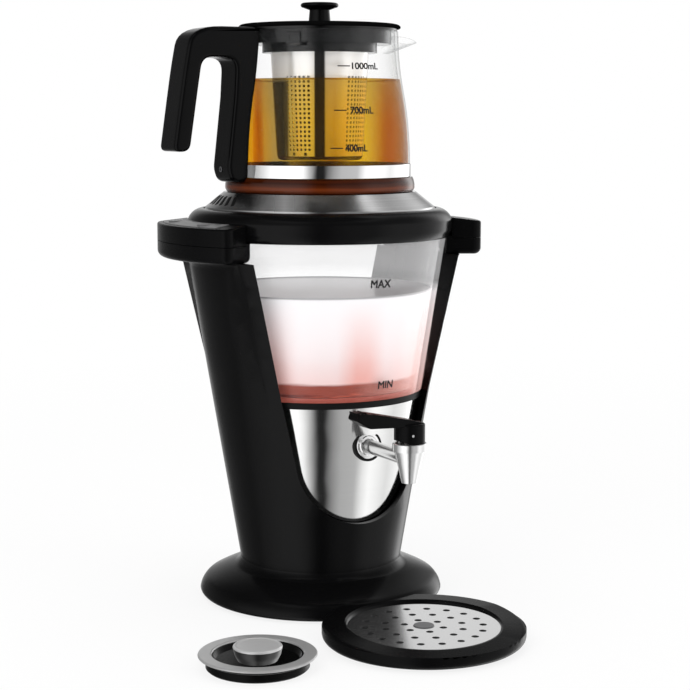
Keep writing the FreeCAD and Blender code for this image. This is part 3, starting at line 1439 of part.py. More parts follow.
def make_handle(band_radius):
    low, top, under = s.handle_low_height, s.handle_top_height, s.handle_arm_under
    inner_low = -(s.base_ring_radius + s.slip_gap)
    inner_band = -(band_radius + s.slip_gap)
    inner_turn = -(s.pot_turn_radius + s.slip_gap + s.handle_glass_gap)
    inner_rim = -(s.pot_rim_radius + s.slip_gap + s.handle_glass_gap)
    grip_in_low = -(s.handle_grip_low - s.handle_grip_thickness)
    grip_in_high = -(s.handle_grip_high - s.handle_grip_thickness)
    corners = [
        (inner_low, low),
        (inner_low, s.base_ring_top),
        (inner_band, s.base_ring_top + s.handle_glass_gap),
        (inner_band, s.pot_knee_height + s.handle_band_reach),
        (inner_turn, s.pot_turn_height, -s.pot_belly_bow),
        (inner_rim, top, s.pot_neck_bow),
        (-s.handle_grip_high, top),
        (-s.handle_grip_low, s.handle_grip_end),
        (grip_in_low, s.handle_grip_end),
        (grip_in_high, under),
        (-s.handle_column_high, under),
        (-s.handle_column_low, low),
    ]
    body = padded("handle_padded", "XZ_Plane", [corners], s.handle_width, middle=True)
    end_round = s.handle_grip_thickness / 2 - s.slip_gap
    for name, index, radius in (("outer", 6, s.handle_corner), ("grip_out", 7, end_round),
                                ("grip_in", 8, end_round), ("inner", 9, s.handle_inner_corner),
                                ("column_top", 10, s.handle_column_corner),
                                ("column_low", 11, s.handle_foot_corner)):
        rounded(body, name, radius, corner_at(*corners[index][:2]))
    half = float(s.handle_width) / 2

    def side_edge(edge):
        box = edge.BoundBox
        flat = box.YLength < 0.01 and abs(abs(box.Center.y) - half) < 0.01
        return flat and box.Center.x < float(s.cut_over) - float(s.handle_column_high)

    rounded(body, "edges", s.handle_edge_round, side_edge)
    # A tongue on the band sits in a slot of the handle, and a pin goes through both.
    tongue_low = s.band_low_height + s.seat_gap
    tongue_top = s.handle_pin_height + s.bracket_top
    slot_length = s.bracket_length + s.slip_gap * 2
    slot = block("bracket_slot", slot_length, s.bracket_thickness + s.slip_gap * 2,
                 tongue_top - tongue_low + s.slip_gap * 4, -(band_radius + slot_length / 2), 0,
                 tongue_low - s.slip_gap * 2)
    pin_x = -(band_radius + s.handle_pin_inset)
    pin_hole = cylinder("handle_pin_hole", s.handle_pin_radius, s.handle_width * 2,
                        pin_x, s.handle_width, s.handle_pin_height, Vector(1, 0, 0), 90)
    keep(boolean("Cut", "pot_handle", body, slot, pin_hole))
    tongue = block("bracket_tongue", s.bracket_length, s.bracket_thickness, tongue_top - tongue_low,
                   -(band_radius + s.bracket_length / 2), 0, tongue_low)
    tongue_hole = cylinder("tongue_pin_hole", s.handle_pin_radius + s.running_gap, s.handle_width,
                           pin_x, s.handle_width / 2, s.handle_pin_height, Vector(1, 0, 0), 90)
    keep(boolean("Cut", "handle_bracket", tongue, tongue_hole))
    pin_length = s.handle_width - s.seat_gap * 2
    keep(cylinder("handle_pin", s.handle_pin_radius, pin_length, pin_x, pin_length / 2,
                  s.handle_pin_height, Vector(1, 0, 0), 90), "handle_pin")


def make_infuser():
    rim = s.pot_rim_height + s.seat_gap
    wall = s.infuser_wall
    step = s.infuser_step_height
    collar_low = s.infuser_collar_low
    lip_top = collar_low + s.infuser_lip_height
    rim_ring = turned("infuser_rim_turned", [
        (s.infuser_wall_radius - wall, step + wall),
        (s.infuser_collar_radius - wall, step + wall),
        (s.infuser_collar_radius - wall, lip_top),
        (s.basket_top_radius + s.seat_gap, lip_top),
        (s.basket_top_radius + s.seat_gap, collar_low),
        (s.infuser_collar_radius, collar_low),
        (s.infuser_collar_radius, step),
        (s.infuser_wall_radius, step),
        (s.infuser_wall_radius, rim),
        (s.infuser_flange_radius, rim),
        (s.infuser_flange_radius, rim + s.infuser_flange_thickness),
        (s.infuser_wall_radius - wall, rim + s.infuser_flange_thickness),
    ])
    # The pouring notch faces the spout.
    notch = block("pouring_notch", s.notch_width, s.notch_width, s.notch_height,
                  s.infuser_wall_radius, 0, step + wall + s.slip_gap)
    keep(boolean("Cut", "infuser_rim", rim_ring, notch))
    sheet_wall = s.basket_sheet
    corner = s.basket_corner
    low = s.basket_low_height
    lip_low = lip_top + s.running_gap
    basket = turned("infuser_basket", [
        (0, low),
        (s.basket_low_radius - corner, low),
        (s.basket_low_radius, low + corner, corner),
        (s.basket_top_radius, collar_low),
        (s.basket_top_radius, lip_low),
        (s.basket_lip_radius, lip_low),
        (s.basket_lip_radius, lip_low + sheet_wall),
        (s.basket_top_radius - sheet_wall, lip_low + sheet_wall),
        (s.basket_top_radius - sheet_wall, collar_low),
        (s.basket_low_radius - sheet_wall, low + corner),
        (s.basket_low_radius - corner, low + sheet_wall, sheet_wall - corner),
        (0, low + sheet_wall),
    ])
    # Narrow slots stand for the columns of fine holes, crossed in pairs through both walls.
    slots = []
    count = int(float(s.basket_slot_count))
    for index in range(count // 2):
        slot = doc.addObject("Part::Box", f"basket_slot{index}")
        bind(slot, "Length", s.basket_top_radius * 3)
        bind(slot, "Width", s.basket_slot_width)
        bind(slot, "Height", collar_low - low - s.basket_slot_start * 2)
        swing = Rotation(Vector(0, 0, 1), (index + 0.5) * 360 / count)
        middle = Vector(-float(s.basket_top_radius) * 1.5, -float(s.basket_slot_width) / 2,
                        float(low + s.basket_slot_start))
        slot.Placement = Placement(Vector(), swing) * Placement(middle, Rotation())
        slots.append(slot)
    floor_count = int(float(s.basket_floor_hole_count))
    holes = [cylinder(f"basket_floor_hole{index}", s.basket_floor_hole_radius, s.cut_over * 3,
                      *polar(s.basket_floor_ring_radius, 360 * index / floor_count), low - s.cut_over)
             for index in range(floor_count)]
    cuts = boolean("MultiFuse", "basket_cuts", slots[0], *slots[1:], *holes)
    keep(boolean("Cut", "infuser_basket", basket, cuts), "infuser_basket")


def make_lid():
    low = s.lid_low_height
    crown = s.lid_crown_height
    plug_low = low - s.seat_gap - s.lid_plug_drop
    plug_out = s.infuser_wall_radius - s.infuser_wall - s.slip_gap
    keep(turned("lid_disc", [
        (s.knob_spigot_radius, low),
        (s.lid_radius - s.lid_edge / 2, low),
        (s.lid_radius, low + s.lid_edge, s.lid_edge_round),
        (s.lid_radius - s.lid_shoulder_width, crown - s.lid_crown_rise, s.lid_shoulder_round),
        (s.knob_stem_radius + s.lid_crown_flat, crown, s.lid_crown_round),
        (s.knob_spigot_radius, crown),
    ]))
    keep(turned("lid_gasket", [
        (plug_out - s.lid_gasket_width, plug_low),
        (plug_out - s.lid_edge / 2, plug_low),
        (plug_out, plug_low + s.lid_edge),
        (plug_out, low),
        (plug_out - s.lid_gasket_width, low),
    ]))
    keep(turned("lid_knob", [
        (0, crown),
        (s.knob_stem_radius, crown),
        (s.knob_stem_radius - s.knob_edge / 2, s.knob_low_height - s.knob_edge),
        (s.knob_radius - s.knob_edge, s.knob_low_height),
        (s.knob_radius, s.knob_low_height + s.knob_thickness / 2, s.knob_edge_round),
        (s.knob_radius - s.knob_edge, s.knob_top_height, s.knob_edge_round),
        (0, s.knob_top_height),
    ]))
    # The screw that pulls the knob onto the lid from below.
    keep(turned("lid_screw", [
        (0, low - s.lid_screw_head),
        (s.knob_spigot_radius + s.lid_screw_head, low - s.lid_screw_head),
        (s.knob_spigot_radius + s.lid_screw_head, low),
        (s.knob_spigot_radius - s.running_gap, low),
        (s.knob_spigot_radius - s.running_gap, crown),
        (0, crown),
    ]))


def make_tray():
    plate_low = s.grid_top_height - s.grid_thickness
    bed = s.grid_radius + s.slip_gap
    pan = turned("tray_turned", [
        (0, 0),
        (s.tray_radius - s.tray_edge, 0),
        (s.tray_radius, s.tray_edge),
        (s.tray_radius, s.tray_height - s.tray_bevel),
        (s.tray_radius - s.tray_bevel, s.tray_height, s.tray_bevel),
        (bed + s.tray_rim_bevel, s.tray_height),
        (bed, s.tray_height - s.tray_rim_bevel),
        (bed, plate_low - s.seat_gap),
        (bed - s.grid_ledge, plate_low - s.seat_gap),
        (bed - s.grid_ledge, s.tray_floor + s.tray_edge),
        (bed - s.grid_ledge - s.tray_edge, s.tray_floor),
        (0, s.tray_floor),
    ])
    place(pan, 0, -s.tray_place, 0)
    foot = cylinder("foot_room", s.foot_radius + s.tray_foot_gap, s.tray_height * 3, 0, 0, -s.tray_height)
    keep(boolean("Cut", "tray_pan", pan, foot))
    grid = padded("tray_plate", "XY_Plane", [{"circle": (0, 0, s.grid_radius)}],
                  s.grid_thickness, plate_low)
    holes = []
    for ring, count in ((1, 6), (2, 12), (3, 18)):
        for index in range(count):
            x, y = polar(s.grid_ring_width * ring, 360 * index / count + 15)
            holes.append({"circle": (x, y, s.grid_hole_radius)})
    neck = s.grid_plug_radius - s.grid_plug_lip
    holes.append({"circle": (0, 0, neck)})
    pocketed(grid, "holes", "XY_Plane", holes)
    place(grid, 0, -s.tray_place, 0)
    keep(grid)
    plug = turned("grid_plug", [
        (0, plate_low - s.grid_thickness),
        (neck - s.running_gap, plate_low - s.grid_thickness),
        (neck - s.running_gap, s.grid_top_height),
        (s.grid_plug_radius, s.grid_top_height),
        (s.grid_plug_radius - s.grid_plug_rise / 2, s.grid_top_height + s.grid_plug_rise),
        (0, s.grid_top_height + s.grid_plug_rise),
    ])
    place(plug, 0, -s.tray_place, 0)
    keep(plug)


def make_cap():
    ring_low = s.cap_ring_height - s.cap_ring_thickness
    seat = ring_low - s.cap_recess_depth
    dish_top = s.cap_ring_height - s.cap_edge
    knob = s.cap_knob_radius
    parts = {}
    parts["cap_ring"] = turned("cap_ring", [
        (s.cap_inner_radius, ring_low),
        (s.cap_radius - s.cap_lip, ring_low),
        (s.cap_radius, ring_low + s.cap_lip, s.cap_lip),
        (s.cap_radius - s.cap_edge, s.cap_ring_height, s.cap_edge_round),
        (s.cap_inner_radius + s.cap_lip, s.cap_ring_height),
        (s.cap_inner_radius, s.cap_ring_height - s.cap_lip, s.cap_lip),
    ])
    parts["cap_body"] = turned("cap_body", [
        (0, 0),
        (s.cap_skirt_radius - s.cap_edge, 0),
        (s.cap_skirt_radius, s.cap_edge),
        (s.cap_skirt_radius, ring_low),
        (s.cap_inner_radius - s.slip_gap, ring_low),
        (s.cap_inner_radius - s.slip_gap, dish_top),
        (s.cap_inner_radius - s.slip_gap - s.cap_edge, dish_top),
        (s.cap_inner_radius - s.slip_gap - s.cap_edge * 2, seat),
        (0, seat),
    ])
    parts["cap_knob"] = turned("cap_knob", [
        (0, seat),
        (knob - s.cap_edge * 3, seat),
        (knob - s.cap_edge, dish_top),
        (knob, s.cap_knob_height - s.cap_edge_round),
        (knob - s.cap_edge_round, s.cap_knob_height, s.cap_edge_round),
        (knob - s.cap_edge_round - s.cap_edge, s.cap_knob_height - s.cap_edge / 2),
        (0, s.cap_knob_height - s.cap_edge / 2),
    ])
    parts["cap_seal"] = turned("cap_seal", [
        (s.cap_skirt_radius, ring_low - s.cap_seal_width * 1.6),
        (s.cap_seal_radius, ring_low - s.cap_seal_width),
        (s.cap_seal_radius, ring_low),
        (s.cap_skirt_radius, ring_low),
    ])
    for name, body in parts.items():
        place(body, s.cap_place_x, s.cap_place_y, 0)
        keep(body, name)


def check_and_write():
    doc.recompute()
    broken = [thing.Name for thing in doc.Objects if {"Invalid", "Error"} & set(thing.State)]
    if broken:
        raise RuntimeError(f"objects that failed: {broken}")
    os.makedirs("parts", exist_ok=True)
    for name, thing in pieces.items():
        shape = thing.Shape
        if shape.isNull() or not shape.isValid() or not shape.Solids:
            raise RuntimeError(f"{name} is not a valid solid")
    for name, thing in pieces.items():
        thing.Shape.exportStep(f"parts/{name}.step")
        box = thing.Shape.BoundBox
        print(f"{name:18s} solids {len(thing.Shape.Solids):2d}  volume {thing.Shape.Volume:10.1f}"
              f"  z {box.ZMin:6.1f} to {box.ZMax:6.1f}")


make_stand()
make_base()
make_vessel()
make_collar()
make_ears()
make_controls()
make_tap()
make_pot()
make_infuser()
make_lid()
make_tray()
make_cap()
check_and_write()
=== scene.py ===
import json
import math

import bmesh
import bpy
from mathutils import Matrix, Vector

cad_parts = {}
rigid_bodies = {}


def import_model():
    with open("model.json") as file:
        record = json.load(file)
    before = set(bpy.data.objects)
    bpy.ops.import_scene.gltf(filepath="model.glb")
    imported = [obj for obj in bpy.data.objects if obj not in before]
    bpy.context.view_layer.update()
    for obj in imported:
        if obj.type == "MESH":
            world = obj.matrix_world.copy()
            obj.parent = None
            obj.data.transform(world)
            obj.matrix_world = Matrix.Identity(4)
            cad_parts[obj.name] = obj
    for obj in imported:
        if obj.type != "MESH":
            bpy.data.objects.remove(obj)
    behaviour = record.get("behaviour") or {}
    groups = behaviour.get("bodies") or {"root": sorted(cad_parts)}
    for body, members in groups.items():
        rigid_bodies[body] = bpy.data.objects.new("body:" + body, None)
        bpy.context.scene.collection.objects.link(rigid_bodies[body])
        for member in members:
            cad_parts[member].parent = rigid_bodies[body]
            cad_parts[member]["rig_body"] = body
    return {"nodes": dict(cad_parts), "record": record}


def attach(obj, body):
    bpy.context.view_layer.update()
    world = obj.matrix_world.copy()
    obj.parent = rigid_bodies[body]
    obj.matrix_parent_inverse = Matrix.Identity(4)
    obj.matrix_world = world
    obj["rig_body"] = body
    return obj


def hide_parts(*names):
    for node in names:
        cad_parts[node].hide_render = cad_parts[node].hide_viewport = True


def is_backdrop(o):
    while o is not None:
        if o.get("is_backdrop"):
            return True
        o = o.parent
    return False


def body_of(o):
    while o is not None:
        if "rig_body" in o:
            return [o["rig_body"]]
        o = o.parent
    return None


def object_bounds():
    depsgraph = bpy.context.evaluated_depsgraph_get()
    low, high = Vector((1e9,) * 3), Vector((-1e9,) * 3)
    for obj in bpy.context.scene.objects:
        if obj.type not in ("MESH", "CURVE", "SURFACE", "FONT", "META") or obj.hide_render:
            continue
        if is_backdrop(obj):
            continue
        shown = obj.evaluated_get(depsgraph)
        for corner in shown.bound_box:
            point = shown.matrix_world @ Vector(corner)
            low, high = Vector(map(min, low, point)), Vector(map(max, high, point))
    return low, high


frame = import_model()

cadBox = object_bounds()
nodes = frame["nodes"]
mm = 0.001
scene = bpy.context.scene
scene.view_settings.view_transform = "Standard"
print("stage: frame loaded,", len(nodes), "nodes")


def tint(tone):
    # a colour with its alpha, from a grey or from three parts
    return (*tone, 1) if isinstance(tone, tuple) else (tone, tone, tone, 1)


class Wire:
    # a socket of a node tree that can stand in a sum, and makes further nodes in that tree
    def __init__(self, tree, socket=None):
        self.tree = tree
        self.socket = socket

    def add(self, kind, inputs=None, out=0, **settings):
        node = self.tree.nodes.new(kind)
        for name, value in settings.items():
            if name == "stops":
                while len(node.color_ramp.elements) < len(value):
                    node.color_ramp.elements.new(1.0)
                for element, (place, tone) in zip(node.color_ramp.elements, value):
                    element.position = place
                    element.color = tint(tone)
            else:
                setattr(node, name, value)
        for name, value in (inputs or {}).items():
            if isinstance(value, Wire):
                self.tree.links.new(value.socket, node.inputs[name])
            else:
                node.inputs[name].default_value = value
        return Wire(self.tree, node.outputs[out] if len(node.outputs) else None)

    def other(self, out):
        return Wire(self.tree, self.socket.node.outputs[out])

    def sum(self, operation, first, second=0.0):
        return self.add("ShaderNodeMath", {0: first, 1: second}, operation=operation)

    def __add__(self, more):
        return self.sum("ADD", self, more)

    def __radd__(self, more):
        return self.sum("ADD", more, self)

    def __sub__(self, less):
        return self.sum("SUBTRACT", self, less)

    def __rsub__(self, more):
        return self.sum("SUBTRACT", more, self)

    def __mul__(self, times):
        return self.sum("MULTIPLY", self, times)

    def __rmul__(self, times):
        return self.sum("MULTIPLY", times, self)

    def __truediv__(self, parts):
        return self.sum("DIVIDE", self, parts)

    def __rtruediv__(self, whole):
        return self.sum("DIVIDE", whole, self)

    def __pow__(self, power):
        return self.sum("POWER", self, power)

    def __lt__(self, limit):
        return self.sum("LESS_THAN", self, limit)

    def __gt__(self, limit):
        return self.sum("GREATER_THAN", self, limit)


def shaded(tone, times):
    return tuple(times * part for part in tone)


def vectors(wire, operation, first, second):
    return wire.add("ShaderNodeVectorMath", {0: first, 1: second}, operation=operation)


def objectPlace(wire, centre=(0, 0, 0), scale=(1, 1, 1)):
    spot = wire.add("ShaderNodeTexCoord", out="Object")
    return vectors(wire, "MULTIPLY", vectors(wire, "SUBTRACT", spot, centre), scale)


def axes(wire, place=None):
    # the east, north and up parts of a place, by default of the point on the piece in metres
    east = wire.add("ShaderNodeSeparateXYZ", {0: place or objectPlace(wire)})
    return east, east.other(1), east.other(2)


def noise(wire, place, scale, detail=2.0):
    return wire.add("ShaderNodeTexNoise", {"Vector": place, "Scale": scale, "Detail": detail})


def ramp(wire, value, stops):
    return wire.add("ShaderNodeValToRGB", {0: value}, stops=stops)


def blend(wire, factor, first, second):
    # each end is a wire, or a colour as tint takes it
    first, second = [end if isinstance(end, Wire) else tint(end) for end in (first, second)]
    return wire.add("ShaderNodeMix", {0: factor, 6: first, 7: second}, 2, data_type="RGBA")


def mixShaders(wire, factor, first, second):
    return wire.add("ShaderNodeMixShader", {0: factor, 1: first, 2: second})


def bump(wire, height, strength, depth):
    return wire.add("ShaderNodeBump", {"Height": height, "Strength": strength, "Distance": depth * mm})


def gloss(wire, **inputs):
    # a Principled surface, with socket names written as words
    named = {name.replace("_", " "): value for name, value in inputs.items()}
    return wire.add("ShaderNodeBsdfPrincipled", named)


def facingUp(wire):
    return axes(wire, wire.add("ShaderNodeNewGeometry", out="Normal"))[2]


def newMaterial(name, build):
    made = bpy.data.materials.new(name)
    made.use_nodes = True
    made.node_tree.nodes.clear()
    wire = Wire(made.node_tree)
    wire.add("ShaderNodeOutputMaterial", {"Surface": build(wire)})
    return made


def meshPiece(name, bm, paint, smooth=True, sharpFrom=35):
    # turns a bmesh into an object whose shading breaks at edges sharper than sharpFrom
    for face in bm.faces:
        face.smooth = smooth
    for edge in bm.edges:
        edge.smooth = len(edge.link_faces) == 2 and edge.calc_face_angle() < math.radians(sharpFrom)
    mesh = bpy.data.meshes.new(name)
    bm.to_mesh(mesh)
    bm.free()
    piece = bpy.data.objects.new(name, mesh)
    scene.collection.objects.link(piece)
    mesh.materials.append(paint)
    return piece


# camera, floor and light

view = {
    "place": (-0.574, -1.049, 0.34), "down": 7.7, "turn": 29.53, "lens": 88.7, "sensor": 36.0, "near": 0.05,
    "facing": -118.7,  # degrees: the turn of the object's side that faces the camera
    "right": (0.877, -0.48),  # the camera's right hand, seen from above
}

camera = bpy.data.objects.new("camera", bpy.data.cameras.new("camera"))
camera.data.lens = view["lens"]
camera.data.sensor_width = view["sensor"]
camera.data.clip_start = view["near"]
camera.location = view["place"]
camera.rotation_euler = (math.radians(90 - view["down"]), 0, -math.radians(view["turn"]))
scene.collection.objects.link(camera)
scene.camera = camera


def acrossView(wire, width):
    # 0 at the left end and 1 at the right end of a span round the object's axis
    east, north, up = axes(wire)
    return (east * view["right"][0] + north * view["right"][1]) / width + 0.5


def showsWhite(wire):
    # 1 for the rays that should find a plain white studio
    path = wire.add("ShaderNodeLightPath", out="Is Camera Ray")
    return wire.sum("MINIMUM", path + path.other("Is Glossy Ray") + path.other("Is Transmission Ray"), 1)


floorLook = {"tone": 0.98, "near": 0.84, "far": 1.0, "nearEdge": 0.25, "farEdge": 1.3, "half": 6.0,
             "drop": 0.3}


def floorPaint(wire):
    plain = wire.add("ShaderNodeBsdfDiffuse", {"Color": tint(floorLook["tone"])})
    glow = wire.add("ShaderNodeEmission", {"Color": tint(1.0), "Strength": 1.0})
    spot = wire.add("ShaderNodeTexCoord", out="Object")
    away = wire.add("ShaderNodeVectorMath", {0: spot}, 1, operation="LENGTH")
    share = wire.add("ShaderNodeMapRange", {0: away, 1: floorLook["nearEdge"], 2: floorLook["farEdge"],
                                            3: floorLook["near"], 4: floorLook["far"]},
                     interpolation_type="SMOOTHSTEP")
    return mixShaders(wire, showsWhite(wire) * share, plain, glow)


floorMesh = bmesh.new()
bmesh.ops.create_grid(floorMesh, x_segments=1, y_segments=1, size=floorLook["half"],
                      matrix=Matrix.Translation((0, 0, -floorLook["drop"] * mm)))
floor = meshPiece("floor", floorMesh, newMaterial("floorPaper", floorPaint))
floor.visible_glossy = False
floor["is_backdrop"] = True

# The studio as metal sees it. The walls go by the turn, from the camera's side (0.5) to its right
# (0.75) and its left (0.25), with a narrow dark gap in the middle; the roof goes by the height, from
# straight down (0) to straight up (1). Metal sees their product times the peak.
studio = {
    "plain": 0.62,
    "peak": 3.0,
    "walls": [
        (0, 0.34), (0.035, 0.19), (0.064, 0.17), (0.08, 0.09), (0.118, 0.07), (0.19, 0.08), (0.235, 0.09),
        (0.262, 0.2), (0.3, 0.33), (0.345, 0.48), (0.397, 0.54), (0.425, 0.5), (0.442, 0.42), (0.462, 0.22),
        (0.482, 0.06), (0.491, 0.006), (0.514, 0.006), (0.526, 0.06), (0.548, 0.13), (0.575, 0.19),
        (0.632, 0.21), (0.66, 0.38), (0.692, 0.48), (0.736, 0.42), (0.775, 0.35), (0.85, 0.46), (0.89, 0.8),
        (0.905, 0.72), (0.925, 0.5), (0.937, 0.28), (0.955, 0.1), (0.98, 0.34),
    ],
    "roof": [
        (0, 1), (0.6, 1), (0.71, 0.62), (0.82, 0.3), (0.88, 0.25), (0.912, 0.36), (0.94, 0.75),
        (0.953, 0.5), (0.96, 0.05), (1, 0.01),
    ],
}


def makeWorld():
    world = bpy.data.worlds.new("studio")
    scene.world = world
    world.use_nodes = True
    world.node_tree.nodes.clear()
    wire = Wire(world.node_tree)
    east, north, up = axes(wire, wire.add("ShaderNodeTexCoord", out="Generated"))
    turn = wire.sum("ARCTAN2", north, east) - math.radians(view["facing"])
    walls = ramp(wire, wire.sum("FRACT", turn / (2 * math.pi) + 0.5), studio["walls"])
    roof = ramp(wire, up * 0.5 + 0.5, studio["roof"])
    mirrored = vectors(wire, "MULTIPLY", vectors(wire, "MULTIPLY", walls, roof), [studio["peak"]] * 3)
    path = wire.add("ShaderNodeLightPath", out="Is Glossy Ray")
    clear = wire.sum("MINIMUM", path.other("Is Camera Ray") + path.other("Is Transmission Ray"), 1)
    tone = blend(wire, path, studio["plain"], mirrored)
    tone = blend(wire, clear, tone, 1)
    back = wire.add("ShaderNodeBackground", {"Color": tone, "Strength": 1.0})
    wire.add("ShaderNodeOutputWorld", {"Surface": back})


makeWorld()

lampAim = (0, 0, 0.2)
lampLooks = {
    "lampLeft": {"place": (-1.5, -0.7, 1.2), "size": 1.1, "power": 9.0},
    "lampRight": {"place": (1, -1.5, 1), "size": 1.1, "power": 7.0},
    "lampTop": {"place": (0.1, 0.3, 2.0), "size": 1.6, "power": 11.0},
}
for name, look in lampLooks.items():
    lamp = bpy.data.objects.new(name, bpy.data.lights.new(name, "AREA"))
    lamp.data.size = look["size"]
    lamp.data.energy = look["power"]
    lamp.location = look["place"]
    aim = Vector(lampAim) - Vector(look["place"])
    lamp.rotation_euler = aim.to_track_quat("-Z", "Y").to_euler()
    lamp.visible_glossy = False
    scene.collection.objects.link(lamp)
print("stage: camera, floor and light")


# finishes; a noise is given as its scale and detail, a relief's depth in millimetres

trayCentre = (0, -0.14, 0)
capCentre = (-0.118, -0.134, 0)
tapCentre = (0, -0.121, 0)
plasticLook = {
    "shades": (0.88, 1.15), "cloud": (30, 3), "cloudRough": 0.0,
    "grain": (2000, 2), "grainRough": 0.1, "relief": (2000, 2), "strength": 0.2, "depth": 0.02,
}
glossBlackLook = {
    "tone": (0.0034, 0.0034, 0.0036), "rough": 0.14, "specular": 0.09, "shades": (0.9, 1.25),
    "cloud": (14, 3), "cloudRough": 0.06, "grain": (1900, 1), "grainRough": 0.03,
    "relief": (260, 1), "strength": 0.15, "depth": 0.005,
}
matteBlackLook = {
    "tone": (0.003, 0.003, 0.0032), "rough": 0.24, "specular": 0.05, "shades": (0.85, 1.3),
    "cloud": (28, 4), "cloudRough": -0.08, "grain": (2300, 2), "grainRough": 0.12,
    "relief": (2300, 2), "strength": 0.25, "depth": 0.012,
}
rubberLook = {
    "tone": (0.006, 0.006, 0.006), "rough": 0.45, "specular": 0.12,
    "grain": (1400, 2), "relief": (1400, 2),
}


def plasticPaint(tone, rough, specular, **changes):
    # clouds in the tone, grain in the shine, and a fine relief
    look = {**plasticLook, **changes}

    def build(wire):
        place = objectPlace(wire)
        cloud = noise(wire, place, *look["cloud"])
        grain = noise(wire, place, *look["grain"])
        relief = noise(wire, place, *look["relief"])
        dark, light = look["shades"]
        colour = blend(wire, cloud, shaded(tone, dark), shaded(tone, light))
        shine = rough + cloud * look["cloudRough"] + grain * look["grainRough"]
        return gloss(wire, Base_Color=colour, Roughness=shine, Specular_IOR_Level=specular,
                     Normal=bump(wire, relief, look["strength"], look["depth"]))
    return build


steelLook = {"along": 4.0, "fine": 3000.0, "marksRough": 0.05, "cloud": (22, 3), "cloudRough": 0.03,
             "strength": 0.05}


def roundPlace(wire, centre=(0, 0, 0)):
    # brush marks that run round a turned piece: long along the turn, fine across it
    east, north, up = axes(wire, objectPlace(wire, centre))
    out = wire.sum("SQRT", east * east + north * north)
    return wire.add("ShaderNodeCombineXYZ", {
        0: east * steelLook["along"], 1: north * steelLook["along"], 2: (out + up) * steelLook["fine"]})


def brushed(wire, marks, colour, metal, rough, depth):
    cloud = noise(wire, objectPlace(wire), *steelLook["cloud"])
    shine = rough + marks * steelLook["marksRough"] + cloud * steelLook["cloudRough"]
    return gloss(wire, Base_Color=colour, Metallic=metal, Roughness=shine,
                 Normal=bump(wire, marks, steelLook["strength"], depth))


def steelPaint(tone, rough, depth, centre=(0, 0, 0), straight=None, contrast=0.1, metal=1.0):
    # brushed or drawn steel; straight gives the way of the marks on flat sheet
    def build(wire):
        place = objectPlace(wire, centre, straight) if straight else roundPlace(wire, centre)
        marks = noise(wire, place, 1)
        colour = blend(wire, marks, shaded(tone, 1.0 - contrast), tone)
        return brushed(wire, marks, colour, metal, rough, depth)
    return build


glassLook = {"smear": (16, 3), "smearAlpha": 0.02, "rough": 0.03, "smearRough": 0.03, "specular": 0.5}


def glassSurface(wire, shows, colour, **more):
    # clear glass with a faint smear; shows is 0 where nothing of it is seen
    smear = noise(wire, objectPlace(wire), *glassLook["smear"])
    alpha = wire.sum("MINIMUM", shows + smear * glassLook["smearAlpha"], 1)
    return gloss(wire, Base_Color=colour, Roughness=glassLook["rough"] + smear * glassLook["smearRough"],
                 Alpha=alpha, Specular_IOR_Level=glassLook["specular"], **more)


def edgeOn(wire, power):
    # 0 where a wall is seen straight on, 1 where it is seen edge on
    return wire.add("ShaderNodeLayerWeight", {"Blend": 0.5}, "Facing") ** power


potGlassLook = {"edge": 0.75, "power": 4.0, "tone": (0.5, 0.52, 0.52)}


def potGlassPaint(wire):
    return glassSurface(wire, edgeOn(wire, potGlassLook["power"]) * potGlassLook["edge"],
                        tint(potGlassLook["tone"]))


vesselGlassLook = {
    "water": 0.2195, "dryBand": 0.004, "paintedSheenBand": 0.01, "paintedSheen": [(0, 0.012), (0.45, 0.05), (1, 0.14)],
    "power": 3.0, "dryEdge": 0.3, "wetEdge": 0.95, "dryGlow": 0.5, "glow": 0.48,
    "rosyGlowFrom": 0.15, "rosyGlowSpan": 0.07, "rosyGlow": [(0, 0.75), (0.15, 0.55), (0.8, 0.22), (1, 0.05)],
    "wetTones": ((0.97, 0.96, 0.97), (0.9, 0.42, 0.36)), "dryTone": (0.9, 0.9, 0.91),
}


def vesselGlassPaint(wire):
    # a pale painted sheen above the water; below it the wall's edges take the water's colour with a painted
    # rosy glow, and the wall glows a little as painted light, half as much above the water
    look = vesselGlassLook
    east, north, up = axes(wire)
    above = up - look["water"]
    dry = ramp(wire, above / look["dryBand"], [(0, 0), (1, 1)])
    paintedSheen = ramp(wire, above / look["paintedSheenBand"], look["paintedSheen"])
    edge = dry * look["dryEdge"] + (1.0 - dry) * look["wetEdge"]
    rosyGlow = ramp(wire, (up - look["rosyGlowFrom"]) / look["rosyGlowSpan"], look["rosyGlow"])
    wet = blend(wire, rosyGlow, *look["wetTones"])
    colour = blend(wire, dry, wet, look["dryTone"])
    # the emission is a painted glow
    return glassSurface(wire, edgeOn(wire, look["power"]) * edge + paintedSheen, colour,
                        Emission_Color=blend(wire, dry * look["dryGlow"], colour, 0),
                        Emission_Strength=look["glow"])


amberLook = {
    "low": 0.2875, "high": 0.2975, "tones": ((0.018, 0.0028, 0.0006), (0.16, 0.03, 0.005)),
    "swirl": (24, 3), "sway": 0.25, "rough": 0.1, "swirlRough": 0.05, "specular": 0.22,
    "highlightBands": [(0, 0.15), (0.22, 0.75), (0.36, 0.95), (0.5, 0.35), (0.72, 0.08), (0.9, 0.25), (1, 0.05)],
}


def amberPaint(wire):
    # thick amber glass, with painted highlight bands across its height
    look = amberLook
    east, north, up = axes(wire)
    swirl = noise(wire, objectPlace(wire, scale=(1, 1, 6)), *look["swirl"])
    share = (up - look["low"]) / (look["high"] - look["low"]) + (swirl - 0.5) * look["sway"]
    colour = blend(wire, ramp(wire, share, look["highlightBands"]), *look["tones"])
    return gloss(wire, Base_Color=colour, Roughness=look["rough"] + swirl * look["swirlRough"],
                 Specular_IOR_Level=look["specular"])


lightLook = {"tones": ((0.34, 0.05, 0.03), (0.56, 0.14, 0.1)), "swirl": (60, 2), "rough": 0.25,
             "swirlRough": 0.1, "glow": 0.22}


